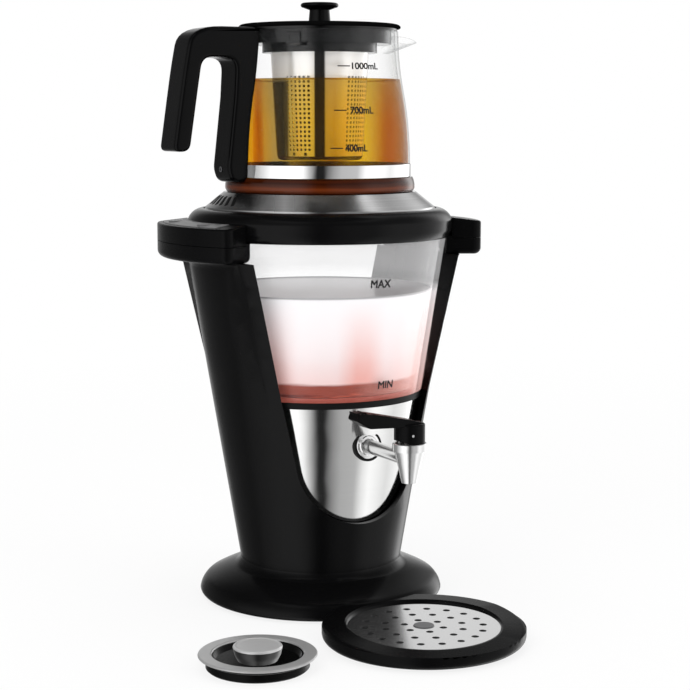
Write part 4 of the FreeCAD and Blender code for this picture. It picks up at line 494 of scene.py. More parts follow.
def lightPaint(wire):
    swirl = noise(wire, objectPlace(wire), *lightLook["swirl"])
    colour = blend(wire, swirl, *lightLook["tones"])
    return gloss(wire, Base_Color=colour, Roughness=lightLook["rough"] + swirl * lightLook["swirlRough"],
                 Emission_Color=colour, Emission_Strength=lightLook["glow"])


boardLook = {"tracks": 220.0, "tones": ((0.02, 0.14, 0.06), (0.05, 0.24, 0.12)), "rough": 0.45}


def boardPaint(wire):
    tracks = wire.add("ShaderNodeTexBrick", {
        "Vector": objectPlace(wire), "Scale": boardLook["tracks"], "Color1": tint(0.0), "Color2": tint(0.2),
        "Mortar": tint(1.0)}, "Color")
    colour = blend(wire, tracks, *boardLook["tones"])
    return gloss(wire, Base_Color=colour, Roughness=boardLook["rough"])


warmerLook = {
    "width": 0.18, "rough": 0.13, "depth": 0.004, "shade": 0.84, "marks": 0.32,
    # these tones, darker towards the left end, are painted shade
    "tones": [(0, 0.16), (0.12, 0.3), (0.24, 0.5), (0.32, 0.62), (0.6, 0.62), (0.68, 0.5), (1, 0.56)],
    "metals": [(0, 1), (0.24, 0.98), (0.33, 0.75), (0.37, 0.62), (0.42, 0.78), (0.47, 1)],
}


def warmerShadedPaint(wire):
    # brushed steel with painted shade that darkens it towards its left end; left of its middle it is also
    # less metallic
    look = warmerLook
    across = acrossView(wire, look["width"])
    marks = noise(wire, roundPlace(wire), 1)
    colour = ramp(wire, across, look["tones"]) * (look["shade"] + marks * look["marks"])
    return brushed(wire, marks, colour, ramp(wire, across, look["metals"]), look["rough"], look["depth"])


bandLook = {"width": 0.13, "tone": 0.84, "rough": 0.03, "marksRough": 0.03,
            "metals": [(0, 0.25), (0.1, 0.35), (0.2, 1), (1, 1)]}


def bandPaint(wire):
    # polished steel, painted less metallic at its left end so that it reads pale there, a painted sheen
    marks = noise(wire, roundPlace(wire), 1)
    metal = ramp(wire, acrossView(wire, bandLook["width"]), bandLook["metals"])
    return gloss(wire, Base_Color=tint(bandLook["tone"]), Metallic=metal,
                 Roughness=bandLook["rough"] + marks * bandLook["marksRough"])


plateLook = {
    "grain": (40, 2400, 2400), "tones": (0.66, 0.76), "rough": 0.15, "marksRough": 0.06, "metal": 0.96,
    "holeShadeTone": 0.004, "holeRough": 0.5, "holeSize": 3.7, "wider": 1.36,
    "holesFrom": 8.5, "holesTo": 48.0,  # millimetres from the plate's centre
}


def platePaint(wire):
    # drawn steel sheet, with the walls of its holes painted black as shade
    look = plateLook
    marks = noise(wire, objectPlace(wire, trayCentre, look["grain"]), 1)
    face = wire.sum("ABSOLUTE", facingUp(wire)) > 0.5
    colour = blend(wire, marks, *look["tones"])
    # faces that do not look up or down are painted black as shade
    colour = blend(wire, face, look["holeShadeTone"], colour)
    rough = look["rough"] + marks * look["marksRough"] + (1.0 - face) * look["holeRough"]
    return gloss(wire, Base_Color=colour, Metallic=face * look["metal"], Roughness=rough)


knobLook = {"discFrom": 0.0128, "tones": (0.62, 0.72), "stemShadeTone": 0.006, "metal": 0.35, "rough": 0.28,
            "marksRough": 0.06}


def knobPaint(wire):
    # the cap's knob: a steel disc on a stem painted black as the shade under the disc
    marks = noise(wire, roundPlace(wire, capCentre), 1)
    east, north, up = axes(wire)
    disc = up > knobLook["discFrom"]
    colour = blend(wire, marks, *knobLook["tones"])
    colour = blend(wire, disc, knobLook["stemShadeTone"], colour)
    return gloss(wire, Base_Color=colour, Metallic=disc * knobLook["metal"],
                 Roughness=knobLook["rough"] + marks * knobLook["marksRough"])


slotPaints = {
    "gloss_black": ("glossBlack", plasticPaint(**glossBlackLook)),
    "matte_black": ("satinBlack", plasticPaint(**matteBlackLook)),
    "grey_plastic": ("greyPlastic", plasticPaint((0.1, 0.1, 0.104), 0.34, 0.45)),
    "smoked_plastic": ("smokedPlastic", plasticPaint((0.004, 0.004, 0.0044), 0.08, 0.36)),
    "brushed_steel": ("brushedSteel", steelPaint((0.72, 0.72, 0.715), 0.08, 0.003)),
    "polished_steel": ("polishedSteel", steelPaint((0.82, 0.82, 0.82), 0.03, 0.001, contrast=0.03)),
    "screw_steel": ("screwSteel", steelPaint((0.5, 0.5, 0.5), 0.3, 0.006)),
    "cast_aluminium": ("castAluminium", steelPaint((0.6, 0.6, 0.61), 0.45, 0.02)),
    "clear_glass": ("clearGlass", potGlassPaint),
    "amber_glass": ("amberGlass", amberPaint),
    "red_light": ("redLens", lightPaint),
    "rubber": ("blackRubber", plasticPaint(**rubberLook)),
    "board_green": ("boardGreen", boardPaint),
}
paints = {slot: newMaterial(name, build) for slot, (name, build) in slotPaints.items()}
warmerSteel = newMaterial("warmerSteel", warmerShadedPaint)
handleBlack = newMaterial("handleBlack", plasticPaint((0.0022, 0.0022, 0.0024), 0.1, 0.09))
tapSteel = newMaterial("tapSteel", steelPaint((0.74, 0.74, 0.74), 0.09, 0.001, tapCentre, contrast=0.08,
                                              metal=0.86))
controlGrey = newMaterial("controlGrey", plasticPaint((0.15, 0.15, 0.152), 0.3, 0.3))
ownPaints = {
    "glass_vessel": newMaterial("vesselGlass", vesselGlassPaint),
    "warmer_ring": warmerSteel,
    "pot_band": newMaterial("bandSteel", bandPaint),
    "lid_disc": newMaterial("lidBlack", plasticPaint((0.0036, 0.0036, 0.0037), 0.35, 0)),
    "tray_plate": newMaterial("plateSteel", platePaint),
    "cap_ring": newMaterial("capSteel", steelPaint((0.48, 0.48, 0.48), 0.3, 0.004, capCentre,
                                                   (2200, 2200, 40), metal=0.35)),
    "cap_knob": newMaterial("knobSteel", knobPaint),
    **dict.fromkeys(("tap_nozzle", "tap_bonnet", "tap_pipe"), tapSteel),
    **dict.fromkeys(("control_inlay", "power_button", "warm_button"), controlGrey),
}
print("stage: finishes")


# the CAD nodes: what shows gets a welded, smoothed copy, what is hidden only its finish

slotOf = {part["node"]: part["material_slot"] for part in frame["record"]["subparts"]}
paintOf = {name: ownPaints.get(name, paints[slotOf[name]]) for name in nodes}
insideNodes = {
    "base_screws", "button_board", "control_board", "handle_bracket", "handle_pin", "heater_disc",
    "led_ring", "lid_screw", "rubber_feet", "tap_flange", "tap_gasket", "tap_nut", "tap_plug", "tap_spring",
    "tap_stem", "thermostat", "vessel_support",
}
ownShapes = {"pot_handle", "infuser_basket", "warmer_ring"}
unmirroredNodes = {"tray_pan", "tray_plate", "grid_plug", "cap_ring", "cap_body", "cap_knob", "cap_seal"}
dressLook = {"weld": 0.002, "sharpFrom": 33}


def weldedCopy(name):
    bm = bmesh.new()
    bm.from_mesh(nodes[name].data)
    bmesh.ops.remove_doubles(bm, verts=bm.verts, dist=dressLook["weld"] * mm)
    return bm


def evenNormals(piece):
    evening = piece.modifiers.new("evenNormals", "WEIGHTED_NORMAL")
    evening.keep_sharp = True


def dressNode(name, bm):
    piece = meshPiece(name + "_skin", bm, paintOf[name], sharpFrom=dressLook["sharpFrom"])
    for attribute in ("custom_normal", "sharp_face"):
        if attribute in piece.data.attributes:
            piece.data.attributes.remove(piece.data.attributes[attribute])
    evenNormals(piece)
    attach(piece, body_of(nodes[name])[0])
    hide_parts(name)
    return piece


def cutAt(bm, spot, normal, near=0.0001):
    # puts a ring of edges where a plane crosses the shape
    bmesh.ops.bisect_plane(bm, geom=bm.verts[:] + bm.edges[:] + bm.faces[:], dist=near,
                           plane_co=spot, plane_no=normal)


trayLook = {
    "levels": (0.7, 1.6, 2.8, 4.2, 6.0, 8.0), "frontFrom": 10.0, "frontSpan": 60.0,
    "rimHeight": 10.0, "rimRadius": 50.0, "backLift": 1.0, "frontLift": 0.05,
    "fall": 2.2, "fallFrom": 52.0, "fallSpan": 14.7, "tuck": 9.0, "tuckHeight": 6.0, "tuckRadius": 58.0,
}


def trayShape(bm):
    # the pan's rim falls towards the front, and its wall tucks in under the edge
    look = trayLook
    centre = trayCentre[1] / mm
    for height in look["levels"]:
        cutAt(bm, (0, 0, height * mm), (0, 0, 1), 0.0001 * mm)
    for vert in bm.verts:
        east, north, up = vert.co.x / mm, vert.co.y / mm - centre, vert.co.z / mm
        out = math.hypot(east, north)
        front = min(1, max(0, (look["frontFrom"] - north) / look["frontSpan"]))
        if up > look["rimHeight"] and out > look["rimRadius"]:
            lift = look["backLift"] + front * (look["frontLift"] - look["backLift"])
            up = look["rimHeight"] + (up - look["rimHeight"]) * lift
            up -= front * look["fall"] * max(0, out - look["fallFrom"]) / look["fallSpan"]
        if up < look["tuckHeight"] and out > look["tuckRadius"]:
            share = min(1, 1.0 - up / look["tuckHeight"])
            out -= look["tuck"] * (1.0 - math.sqrt(1.0 - share * share))
            turn = math.atan2(north, east)
            east, north = math.cos(turn) * out, math.sin(turn) * out
        vert.co = Vector((east, north + centre, up)) * mm


nozzleLook = {"wider": 0.13}


def flareNozzle(bm):
    # the nozzle's cone is a little wider under the bonnet
    heights = [vert.co.z for vert in bm.verts]
    low, high = min(heights), max(heights)
    for vert in bm.verts:
        share = 1.0 + nozzleLook["wider"] * (vert.co.z - low) / (high - low)
        vert.co.x *= share
        vert.co.y = tapCentre[1] + (vert.co.y - tapCentre[1]) * share


def openHoles(bm):
    # each small hole of the plate opens wider about its own middle
    look = plateLook
    waiting = {vert for vert in bm.verts if look["holesFrom"] * mm
               < math.hypot(vert.co.x, vert.co.y - trayCentre[1]) < look["holesTo"] * mm}
    while waiting:
        first = waiting.pop()
        group = [first] + [vert for vert in waiting
                           if (vert.co - first.co).xy.length < look["holeSize"] * mm]
        waiting -= set(group)
        east = sum(vert.co.x for vert in group) / len(group)
        north = sum(vert.co.y for vert in group) / len(group)
        for vert in group:
            vert.co.x = east + (vert.co.x - east) * look["wider"]
            vert.co.y = north + (vert.co.y - north) * look["wider"]


shapers = {"tray_pan": trayShape, "tap_nozzle": flareNozzle, "tray_plate": openHoles}
for name, node in nodes.items():
    node.data.materials.clear()
    node.data.materials.append(paintOf[name])
    if name in insideNodes or name in ownShapes:
        continue
    skin = weldedCopy(name)
    if name in shapers:
        shapers[name](skin)
    skin = dressNode(name, skin)
    skin.visible_glossy = name not in unmirroredNodes
print("stage: nodes dressed")


# new pieces, worked in millimetres

def spun(profile, steps=160, closed=True):
    # turns (radius, height) corners about the Z axis; the result is in metres
    bm = bmesh.new()
    corners = [bm.verts.new((out * mm, 0, up * mm)) for out, up in profile]
    for first, second in zip(corners, corners[1:] + ([corners[0]] if closed else [])):
        bm.edges.new((first, second))
    bmesh.ops.spin(bm, geom=bm.verts[:] + bm.edges[:], axis=(0, 0, 1), cent=(0, 0, 0),
                   angle=2 * math.pi, steps=steps, use_merge=True)
    bmesh.ops.remove_doubles(bm, verts=bm.verts, dist=0.001 * mm)
    bmesh.ops.recalc_face_normals(bm, faces=bm.faces)
    return bm


def block(size):
    bm = bmesh.new()
    bmesh.ops.create_cube(bm, size=1.0)
    bmesh.ops.scale(bm, verts=bm.verts, vec=size)
    return bm


def softened(bm, size):
    bmesh.ops.bevel(bm, geom=bm.edges[:], offset=size, segments=2, affect="EDGES", profile=0.5, material=-1)


def turned(bm, degrees, axis, centre=(0, 0, 0)):
    bmesh.ops.rotate(bm, verts=bm.verts, cent=centre, matrix=Matrix.Rotation(math.radians(degrees), 3, axis))


def moved(bm, way):
    bmesh.ops.translate(bm, verts=bm.verts, vec=way)


def toMetres(bm):
    bmesh.ops.scale(bm, verts=bm.verts, vec=(mm, mm, mm))


def along(height, lowHeight, lowRadius, highHeight, highRadius):
    return lowRadius + (height - lowHeight) * (highRadius - lowRadius) / (highHeight - lowHeight)


# the walls' heights and radii, from below to above, and how far the pot's two arcs bulge
vesselWall = (62.0, 58.4, 243.0, 86.3)
potBelly = (306.5, 63.0, 357.0, 58.3, 1.2)
potNeck = (357.0, 58.3, 397.0, 54.5, -0.94)


def glassOutside(height):
    return along(height, *vesselWall)


def potOutside(height):
    # upright up to the belly, then the two shallow arcs up to the rim
    if height < potBelly[0]:
        return potBelly[1]
    low, lowRadius, high, highRadius, bulge = potBelly if height < potNeck[0] else potNeck
    share = (height - low) / (high - low)
    return lowRadius + (highRadius - lowRadius) * share + bulge * 4 * share * (1 - share)


waterLook = {
    "low": 151.6, "top": 220.0, "inset": 3.9, "edge": 0.8, "lip": 1.6, "dip": 0.6,
    "fill": 0.92, "topClear": 0.3, "through": (0.96, 0.96, 0.97),
    "glow": 0.11, "rough": 0.12, "rippleRough": 0.05, "specular": 0.2,
    "width": 0.16, "foot": 150.0, "depth": 70.0, "ripple": (30, 3), "drift": (22, 2), "sway": 0.06,
    "footSway": 0.05, "flatFrom": 0.7, "surfaceFill": 0.45, "surfaceSway": 0.5,
    "pillars": [(0, 0.6), (0.2, 0.72), (0.31, 0.56), (0.41, 0.07), (0.57, 0.1), (0.65, 0.72), (0.7, 0.68),
                (0.78, 0.12), (0.88, 0.14), (0.94, 0.55), (1, 0.7)],
    "fade": [(0, 1), (0.35, 1), (0.75, 0.35), (0.97, 0)],
    "blush": [(0, 0.5), (0.16, 0.34), (0.4, 0.06), (0.6, 0)],
    "tones": ((0.97, 0.97, 0.985), (0.94, 0.52, 0.47)),
    "redBand": [(0, 1), (0.135, 1), (0.165, 0), (1, 0)],
    "redLines": [(0.3, 0), (0.46, 0.45), (0.58, 0.3), (0.75, 1)],
    "redTones": ((0.11, 0.01, 0.006), (0.6, 0.12, 0.07)),
    "redFade": [(0.62, 0), (0.9, 0.62), (1, 0.7)], "redPale": (0.8, 0.42, 0.36),
    "surface": (0.33, 0.33, 0.34), "rim": [(0, 0), (0.975, 0), (0.99, 0.8), (1, 0.8)],
    "rimShadeTone": (0.2, 0.2, 0.21),
}


def waterPaint(wire):
    # still water over the red ring light, painted with the light's glow: red at its foot, rosy glowing
    # streaks above, clear white on top; its flat top is painted grey as shade, a dark line is painted as
    # shade at the top of its sides, and the body glows a little as painted light
    look = waterLook
    across = acrossView(wire, look["width"])
    east, north, up = axes(wire)
    rise = (up / mm - look["foot"]) / look["depth"]
    ripple = noise(wire, objectPlace(wire, scale=(1, 1, 9)), *look["ripple"])
    drift = noise(wire, objectPlace(wire, scale=(1, 1, 0.2)), *look["drift"])
    # rosy streaks of the ring light's painted glow
    pillars = ramp(wire, across + (drift - 0.5) * look["sway"], look["pillars"])
    rosyGlow = pillars * ramp(wire, rise, look["fade"]) + ramp(wire, rise, look["blush"])
    colour = blend(wire, wire.sum("MINIMUM", rosyGlow, 1), *look["tones"])
    # the red glow of the ring light, painted at the foot
    foot = ramp(wire, rise + (ripple - 0.5) * look["footSway"], look["redBand"])
    red = blend(wire, ramp(wire, ripple, look["redLines"]), *look["redTones"])
    red = blend(wire, ramp(wire, across, look["redFade"]), red, look["redPale"])
    colour = blend(wire, foot, colour, red)
    # the flat top is painted grey as shade
    flat = facingUp(wire) > look["flatFrom"]
    shown = flat * (ripple * look["surfaceSway"] + look["surfaceFill"])
    colour = blend(wire, shown, colour, look["surface"])
    # a dark line painted as shade along the top of the sides
    rim = ramp(wire, rise, look["rim"]) * (1.0 - flat)
    colour = blend(wire, rim, colour, look["rimShadeTone"])
    # the body's emission is a painted glow
    body = gloss(wire, Base_Color=colour, Roughness=look["rough"] + ripple * look["rippleRough"],
                 Emission_Color=colour, Emission_Strength=look["glow"],
                 Specular_IOR_Level=look["specular"])
    clear = wire.add("ShaderNodeBsdfTransparent", {"Color": tint(look["through"])})
    factor = wire.sum("MAXIMUM", look["fill"] - flat * look["topClear"], foot)
    return mixShaders(wire, factor, clear, body)


waterLow, waterTop = waterLook["low"], waterLook["top"]
waterOut = glassOutside(waterTop) - waterLook["inset"]
water = meshPiece("water", spun([
    (0, waterLow),
    (glassOutside(waterLow) - waterLook["inset"], waterLow),
    (waterOut - waterLook["edge"], waterTop),
    (waterOut - waterLook["lip"], waterTop - waterLook["dip"]),
    (0, waterTop - waterLook["dip"]),
], closed=False), newMaterial("water", waterPaint), sharpFrom=30)
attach(water, "stand")

teaLook = {
    "low": 291.4, "top": 364.6, "inset": 1.3, "footRadius": 57.5, "footHeight": 3.0,
    "edge": 0.1, "lip": 1.4, "dip": 0.8, "levels": (306.5, 318.0, 330.0, 342.0, 354.0),
    "fill": 0.085, "fillSway": 0.05, "glow": 0.3, "rough": 0.2, "specular": 0.1,
    "width": 0.121, "paleFrom": 306.0, "paleSpan": 58.0, "pale": 0.6, "swirl": (30, 3), "sway": 0.03,
    "faint": (0.6, 0.52, 0.34), "gold": (0.98, 0.74, 0.05), "brown": (0.64, 0.26, 0.01),
    "paleness": [(0, 0), (0.5, 0.1), (0.9, 0.62), (1, 0.8)],
    "depths": [(0.03, 1), (0.152, 1), (0.174, 0.66), (0.205, 0.56), (0.23, 0.3), (0.3, 0.4),
               (0.34, 0.74), (0.46, 0.8), (0.58, 1), (0.7, 0.85), (0.8, 0.62), (0.9, 1), (0.98, 0.8)],
    "warmths": [(0.03, 0.28), (0.122, 0.34), (0.14, 1), (0.155, 1), (0.174, 0.46), (0.2, 0.4),
                (0.33, 0.04), (0.46, 0.16), (0.58, 0.62), (0.68, 0.05), (0.78, 0.08), (0.88, 1),
                (0.98, 0.8)],
    "bodies": [(0.03, (0.84, 0.36, 0.01)), (0.115, (0.8, 0.32, 0.01)), (0.145, (0.4, 0.12, 0.005)),
               (0.23, (0.1, 0.09, 0.06)), (0.3, (0.1, 0.09, 0.06)), (0.34, (0.8, 0.52, 0.1)),
               (0.46, (0.1, 0.05, 0.005)), (0.56, (0.2, 0.1, 0.01)), (0.66, (0.76, 0.46, 0.04)),
               (0.86, (0.48, 0.24, 0.04)), (0.98, (0.4, 0.17, 0.05))],
}


def teaPaint(wire):
    # brewed tea: orange on its left, golden in the middle, brown on its right, paler near its top, with a
    # dark band painted as the reflection of the handle;
    # three clear tints are mixed, and a little of a body that glows as painted light is laid over them
    look = teaLook
    east, north, up = axes(wire)
    swirl = noise(wire, objectPlace(wire, scale=(1, 1, 0.5)), *look["swirl"])
    place = acrossView(wire, look["width"]) + (swirl - 0.5) * look["sway"]
    pale = ramp(wire, (up / mm - look["paleFrom"]) / look["paleSpan"], look["paleness"])
    # the bodies' dark stretch from 0.23 to 0.3 is a painted reflection of the handle
    colour = ramp(wire, place, look["bodies"])
    # the body's emission is a painted glow
    body = gloss(wire, Base_Color=colour, Roughness=look["rough"], Specular_IOR_Level=look["specular"],
                 Emission_Color=colour, Emission_Strength=look["glow"])
    faint, gold, brown = [wire.add("ShaderNodeBsdfTransparent", {"Color": tint(look[name])})
                          for name in ("faint", "gold", "brown")]
    warm = ramp(wire, place, look["warmths"])
    clear = mixShaders(wire, warm, gold, brown)
    thick = ramp(wire, place, look["depths"]) * (1.0 - pale * look["pale"])
    clear = mixShaders(wire, thick, faint, clear)
    laid = look["fill"] + swirl * look["fillSway"]
    return mixShaders(wire, laid, clear, body)


teaTop, teaDip = teaLook["top"], teaLook["top"] - teaLook["dip"]
tea = meshPiece("tea", spun([
    (0, teaLook["low"]),
    (teaLook["footRadius"], teaLook["low"]),
    (potOutside(0) - teaLook["inset"], teaLook["low"] + teaLook["footHeight"]),
    *[(potOutside(height) - teaLook["inset"], height) for height in (*teaLook["levels"], teaDip)],
    (potOutside(teaTop) - teaLook["inset"] - teaLook["edge"], teaTop),
    (potOutside(teaTop) - teaLook["inset"] - teaLook["lip"], teaDip),
    (0, teaDip),
], closed=False), newMaterial("brewedTea", teaPaint), sharpFrom=40)
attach(tea, "teapot")
print("stage: water and tea")

basketLook = {
    "topRadius": 34.0, "lowRadius": 30.0, "topHeight": 386.2, "collar": 382.5, "low": 309.0, "foot": 3.0,
    "lip": 0.6, "sheet": 0.6, "columns": 64, "rows": 24, "holeRows": 18,
    "hole": 1.22, "corner": 0.29, "opening": 0.6,
    "slotColumns": (36, 39, 4, 7), "slotFrame": 0.2, "holeBands": ((3, 9), (17, 27), (35, 41), (49, 59)),
    "width": 0.08, "teaTop": 0.362, "teaBand": 0.004, "grain": (900, 900, 12), "dryInsideShade": 0.35, "glow": 0.17,
    "tones": [(0.05, (0.02, 0.02, 0.018)), (0.225, (0.03, 0.03, 0.026)),
              (0.245, (0.94, 0.93, 0.9)), (1, (0.95, 0.94, 0.92))],
    "dryTone": (0.9, 0.9, 0.89), "insideShadeFade": [(0.6, 1), (0.68, 0.5)],
    "frontMiddleBand": [(0.45, 0), (0.46, 1), (0.538, 1), (0.552, 0)], "dark": (0.012, 0.011, 0.01),
    "metals": [(0.22, 0.1), (0.25, 0.35)], "rough": 0.12, "marksRough": 0.05,
}


def basketPaint(wire):
    # fine steel with painted light: dark towards the handle as a painted reflection of it, painted shade on
    # its inner face, dark along a band in the middle of its front, and a faint painted glow
    look = basketLook
    across = acrossView(wire, look["width"])
    east, north, up = axes(wire)
    front = (north * view["right"][0] - east * view["right"][1]) < 0.0
    sunk = ramp(wire, (up - look["teaTop"]) / look["teaBand"], [(0, 1), (1, 0)])
    foot, collar = look["low"] + look["foot"], look["collar"]
    slope = (look["topRadius"] - look["lowRadius"]) / (collar - foot)
    sheetMiddle = (look["lowRadius"] - look["sheet"] / 2) * mm + (
        wire.sum("MINIMUM", up, collar * mm) - foot * mm) * slope
    # the inner face is painted dark as shade, less so above the tea
    insideShade = (wire.sum("SQRT", east * east + north * north) - sheetMiddle) < 0.0
    insideShade = insideShade * (look["dryInsideShade"] + sunk * (1.0 - look["dryInsideShade"]))
    insideShade = insideShade * ramp(wire, across, look["insideShadeFade"])
    marks = noise(wire, objectPlace(wire, scale=look["grain"]), 1)
    # the tones' dark stretch towards the handle is a painted reflection of it
    colour = blend(wire, sunk, look["dryTone"], ramp(wire, across, look["tones"]))
    frontMiddleBand = ramp(wire, across, look["frontMiddleBand"]) * front
    colour = blend(wire, wire.sum("MAXIMUM", frontMiddleBand, insideShade), colour, look["dark"])
    metal = ramp(wire, across, look["metals"]) * (1.0 - insideShade)
    rough = look["rough"] + marks * look["marksRough"]
    # the emission is a painted glow
    return gloss(wire, Base_Color=colour, Metallic=metal, Roughness=rough, Emission_Color=colour,
                 Emission_Strength=look["glow"])


def makeBasket():
    # a sheet of small round holes, rolled into a cone
    look = basketLook
    columns, rows = look["columns"], look["rows"]
    low, high = look["low"] + look["foot"], look["topHeight"] - look["lip"]
    wide = math.pi * (look["topRadius"] + look["lowRadius"])
    cell = wide / columns
    bm = bmesh.new()
    bmesh.ops.create_grid(bm, x_segments=columns, y_segments=rows, size=0.5)
    bmesh.ops.scale(bm, verts=bm.verts, vec=(wide, high - low, 1))
    holes, slots = [], []
    for face in bm.faces:
        middle = face.calc_center_median()
        column = int((middle.x / wide + 0.5) * columns)
        row = int((middle.y / (high - low) + 0.5) * rows)
        if row == 0 and column in look["slotColumns"]:
            slots.append(face)
        elif 1 <= row < look["holeRows"] and any(start <= column < end for start, end in look["holeBands"]):
            holes.append(face)
    bmesh.ops.inset_individual(bm, faces=holes, thickness=(cell - look["hole"]) / 2)
    bmesh.ops.inset_individual(bm, faces=slots, thickness=cell * look["slotFrame"])
    corners = list({vert for face in holes + slots for vert in face.verts})
    bmesh.ops.bevel(bm, geom=corners, offset=look["hole"] * look["corner"], segments=1, affect="VERTICES",
                    profile=0.5, material=-1)
    small = cell * cell * look["opening"]
    opened = [face for face in bm.faces if len(face.verts) == 8 and face.calc_area() < small]
    bmesh.ops.delete(bm, geom=opened, context="FACES")
    for vert in bm.verts:
        turn = (vert.co.x / wide + 0.5) * 2 * math.pi
        up = low + vert.co.y + (high - low) / 2
        out = along(min(up, look["collar"]), low, look["lowRadius"], look["collar"], look["topRadius"])
        vert.co = Vector((math.cos(turn) * out, math.sin(turn) * out, up)) * mm
    bmesh.ops.remove_doubles(bm, verts=bm.verts, dist=0.01 * mm)
    bmesh.ops.recalc_face_normals(bm, faces=bm.faces)
    return bm, len(opened)


basketMesh, holeCount = makeBasket()
basketSteel = newMaterial("basketSteel", basketPaint)
basket = meshPiece("basketWall", basketMesh, basketSteel)
sheetWall = basket.modifiers.new("sheet", "SOLIDIFY")
sheetWall.thickness = basketLook["sheet"] * mm
sheetWall.offset = -1.0
basketFoot = meshPiece("basketFloor", spun([
    (0, 309.0), (27.0, 309.0), (29.0, 309.8), (30.0, 312.0), (29.4, 312.0), (28.6, 310.4), (27.0, 309.6),
    (0, 309.6)], closed=False), paints["brushed_steel"])
basketLip = meshPiece("basketLip", spun([
    (33.4, 385.6), (37.6, 385.6), (37.6, 386.2), (33.4, 386.2)]), basketSteel)
for piece in (basket, basketFoot, basketLip):
    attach(piece, "infuser")
    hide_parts("infuser_basket")
print("stage: infuser basket,", holeCount, "holes")

# the pot's handle: an open hook whose column follows the glass, the steel band and the base ring
handleLook = {
    "half": 13.0, "round": 2.6, "gap": 0.35,
    "ringTop": 297.7, "ringRadius": 67.0, "bandTop": 307.0, "bandRadius": 63.95, "rim": 397.0,
    "levels": range(298, 398, 6), "strips": (-8.0, -4.0, 0.0, 4.0, 8.0),
    "outline": [  # east, up and the corner's rounding
        (-62.0, 294.7, 0), (-73.5, 294.7, 5.5), (-76.9, 303.5, 4.0), (-74.0, 328.0, 0), (-71.2, 352.0, 0),
        (-69.6, 378.3, 9.5), (-94.4, 378.3, 7.5), (-98.2, 355.2, 0), (-104.4, 315.9, 5.6),
        (-116.2, 315.9, 4.8), (-111.3, 348.0, 0), (-107.2, 374.0, 14.0), (-102.0, 398.6, 22.0),
        (-50.5, 398.6, 1.2),
    ],
}


def roundedOutline(corners, steps=7, most=0.49):
    # replaces each rounded corner by an arc of straight steps, over at most that share of an edge
    made = []
    for number, (east, up, size) in enumerate(corners):
        here = Vector((east, up))
        if not size:
            made.append(here)
            continue
        before = Vector(corners[number - 1][:2]) - here
        after = Vector(corners[(number + 1) % len(corners)][:2]) - here
        start = here + before.normalized() * min(size, before.length * most)
        end = here + after.normalized() * min(size, after.length * most)
        for step in range(steps + 1):
            share = step / steps
            made.append(start * (1 - share) ** 2 + here * 2 * share * (1 - share) + end * share ** 2)
    return made


def potClearance(height):
    # the radius that the handle keeps outside of at this height
    look = handleLook
    if height < look["ringTop"]:
        return look["ringRadius"]
    if height <= look["bandTop"]:
        return look["bandRadius"]
    return potOutside(min(height, look["rim"])) + look["gap"]


def makeHandle():
    look = handleLook
    bm = bmesh.new()
    corners = [bm.verts.new((spot.x, -look["half"], spot.y)) for spot in roundedOutline(look["outline"])]
    side = bm.faces.new(corners)
    pushed = bmesh.ops.extrude_face_region(bm, geom=[side])["geom"]
    far = [item for item in pushed if isinstance(item, bmesh.types.BMVert)]
    bmesh.ops.translate(bm, verts=far, vec=(0, 2 * look["half"], 0))
    bmesh.ops.recalc_face_normals(bm, faces=bm.faces)
    rims = [edge for edge in bm.edges
            if len(edge.link_faces) == 2 and abs(edge.verts[0].co.y - edge.verts[1].co.y) < 0.01]
    bmesh.ops.bevel(bm, geom=rims, offset=look["round"], segments=5, affect="EDGES", profile=0.5,
                    material=-1, clamp_overlap=False)
    for height in look["levels"]:
        cutAt(bm, (0, 0, height), (0, 0, 1))
    for strip in look["strips"]:
        cutAt(bm, (0, strip, 0), (0, 1, 0))
    for vert in bm.verts:
        inner = potClearance(vert.co.z)
        if vert.co.xy.length < inner:
            vert.co.x = -math.sqrt(inner * inner - vert.co.y ** 2)
    bmesh.ops.remove_doubles(bm, verts=bm.verts, dist=0.005)
    toMetres(bm)
    return bm


handle = meshPiece("potHandle", makeHandle(), handleBlack, sharpFrom=50)
evenNormals(handle)
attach(handle, "teapot")
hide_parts("pot_handle", "handle_pin")

rivetLook = {
    "height": 303.6, "face": -76.6,
    "profile": [(1.1, -1.2), (1.9, -1.2), (1.9, 0.25), (1.6, 0.45), (1.3, 0.45), (1.1, 0.15)],
}
rivetMesh = spun(rivetLook["profile"], 24)
turned(rivetMesh, -90, "Y")
moved(rivetMesh, (rivetLook["face"] * mm, 0, rivetLook["height"] * mm))
rivet = meshPiece("handleRivet", rivetMesh, paints["grey_plastic"])
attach(rivet, "teapot")

# ribs on the lever's thumb pad
ribLook = {"places": (-41.3, -38.6, -35.9), "size": (1.3, 11.6, 1.4), "round": 0.35, "height": 151.15}
for number, east in enumerate(ribLook["places"]):
    ribMesh = block(ribLook["size"])
    softened(ribMesh, ribLook["round"])
    moved(ribMesh, (east, tapCentre[1] / mm, ribLook["height"]))
    toMetres(ribMesh)
    rib = meshPiece(f"leverRib{number}", ribMesh, paints["matte_black"])
    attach(rib, "lever")

# the tap's flange sits over a thin black ring; both are turned about the pipe and lean with the wall
flangeLook = {
    "axisHeight": 117.0, "lean": -8.0, "pivot": 66.0,
    "flange": [(5.0, 66.8), (8.8, 66.8), (8.9, 67.0), (8.9, 68.0), (8.6, 68.3), (7.0, 68.5), (6.4, 69.1),
               (5.0, 69.2)],
    "ring": [(5.0, 65.0), (10.4, 65.0), (10.7, 65.3), (10.7, 67.6), (10.3, 68.0), (9.1, 68.0), (9.1, 66.7),
             (5.0, 66.7)],
}


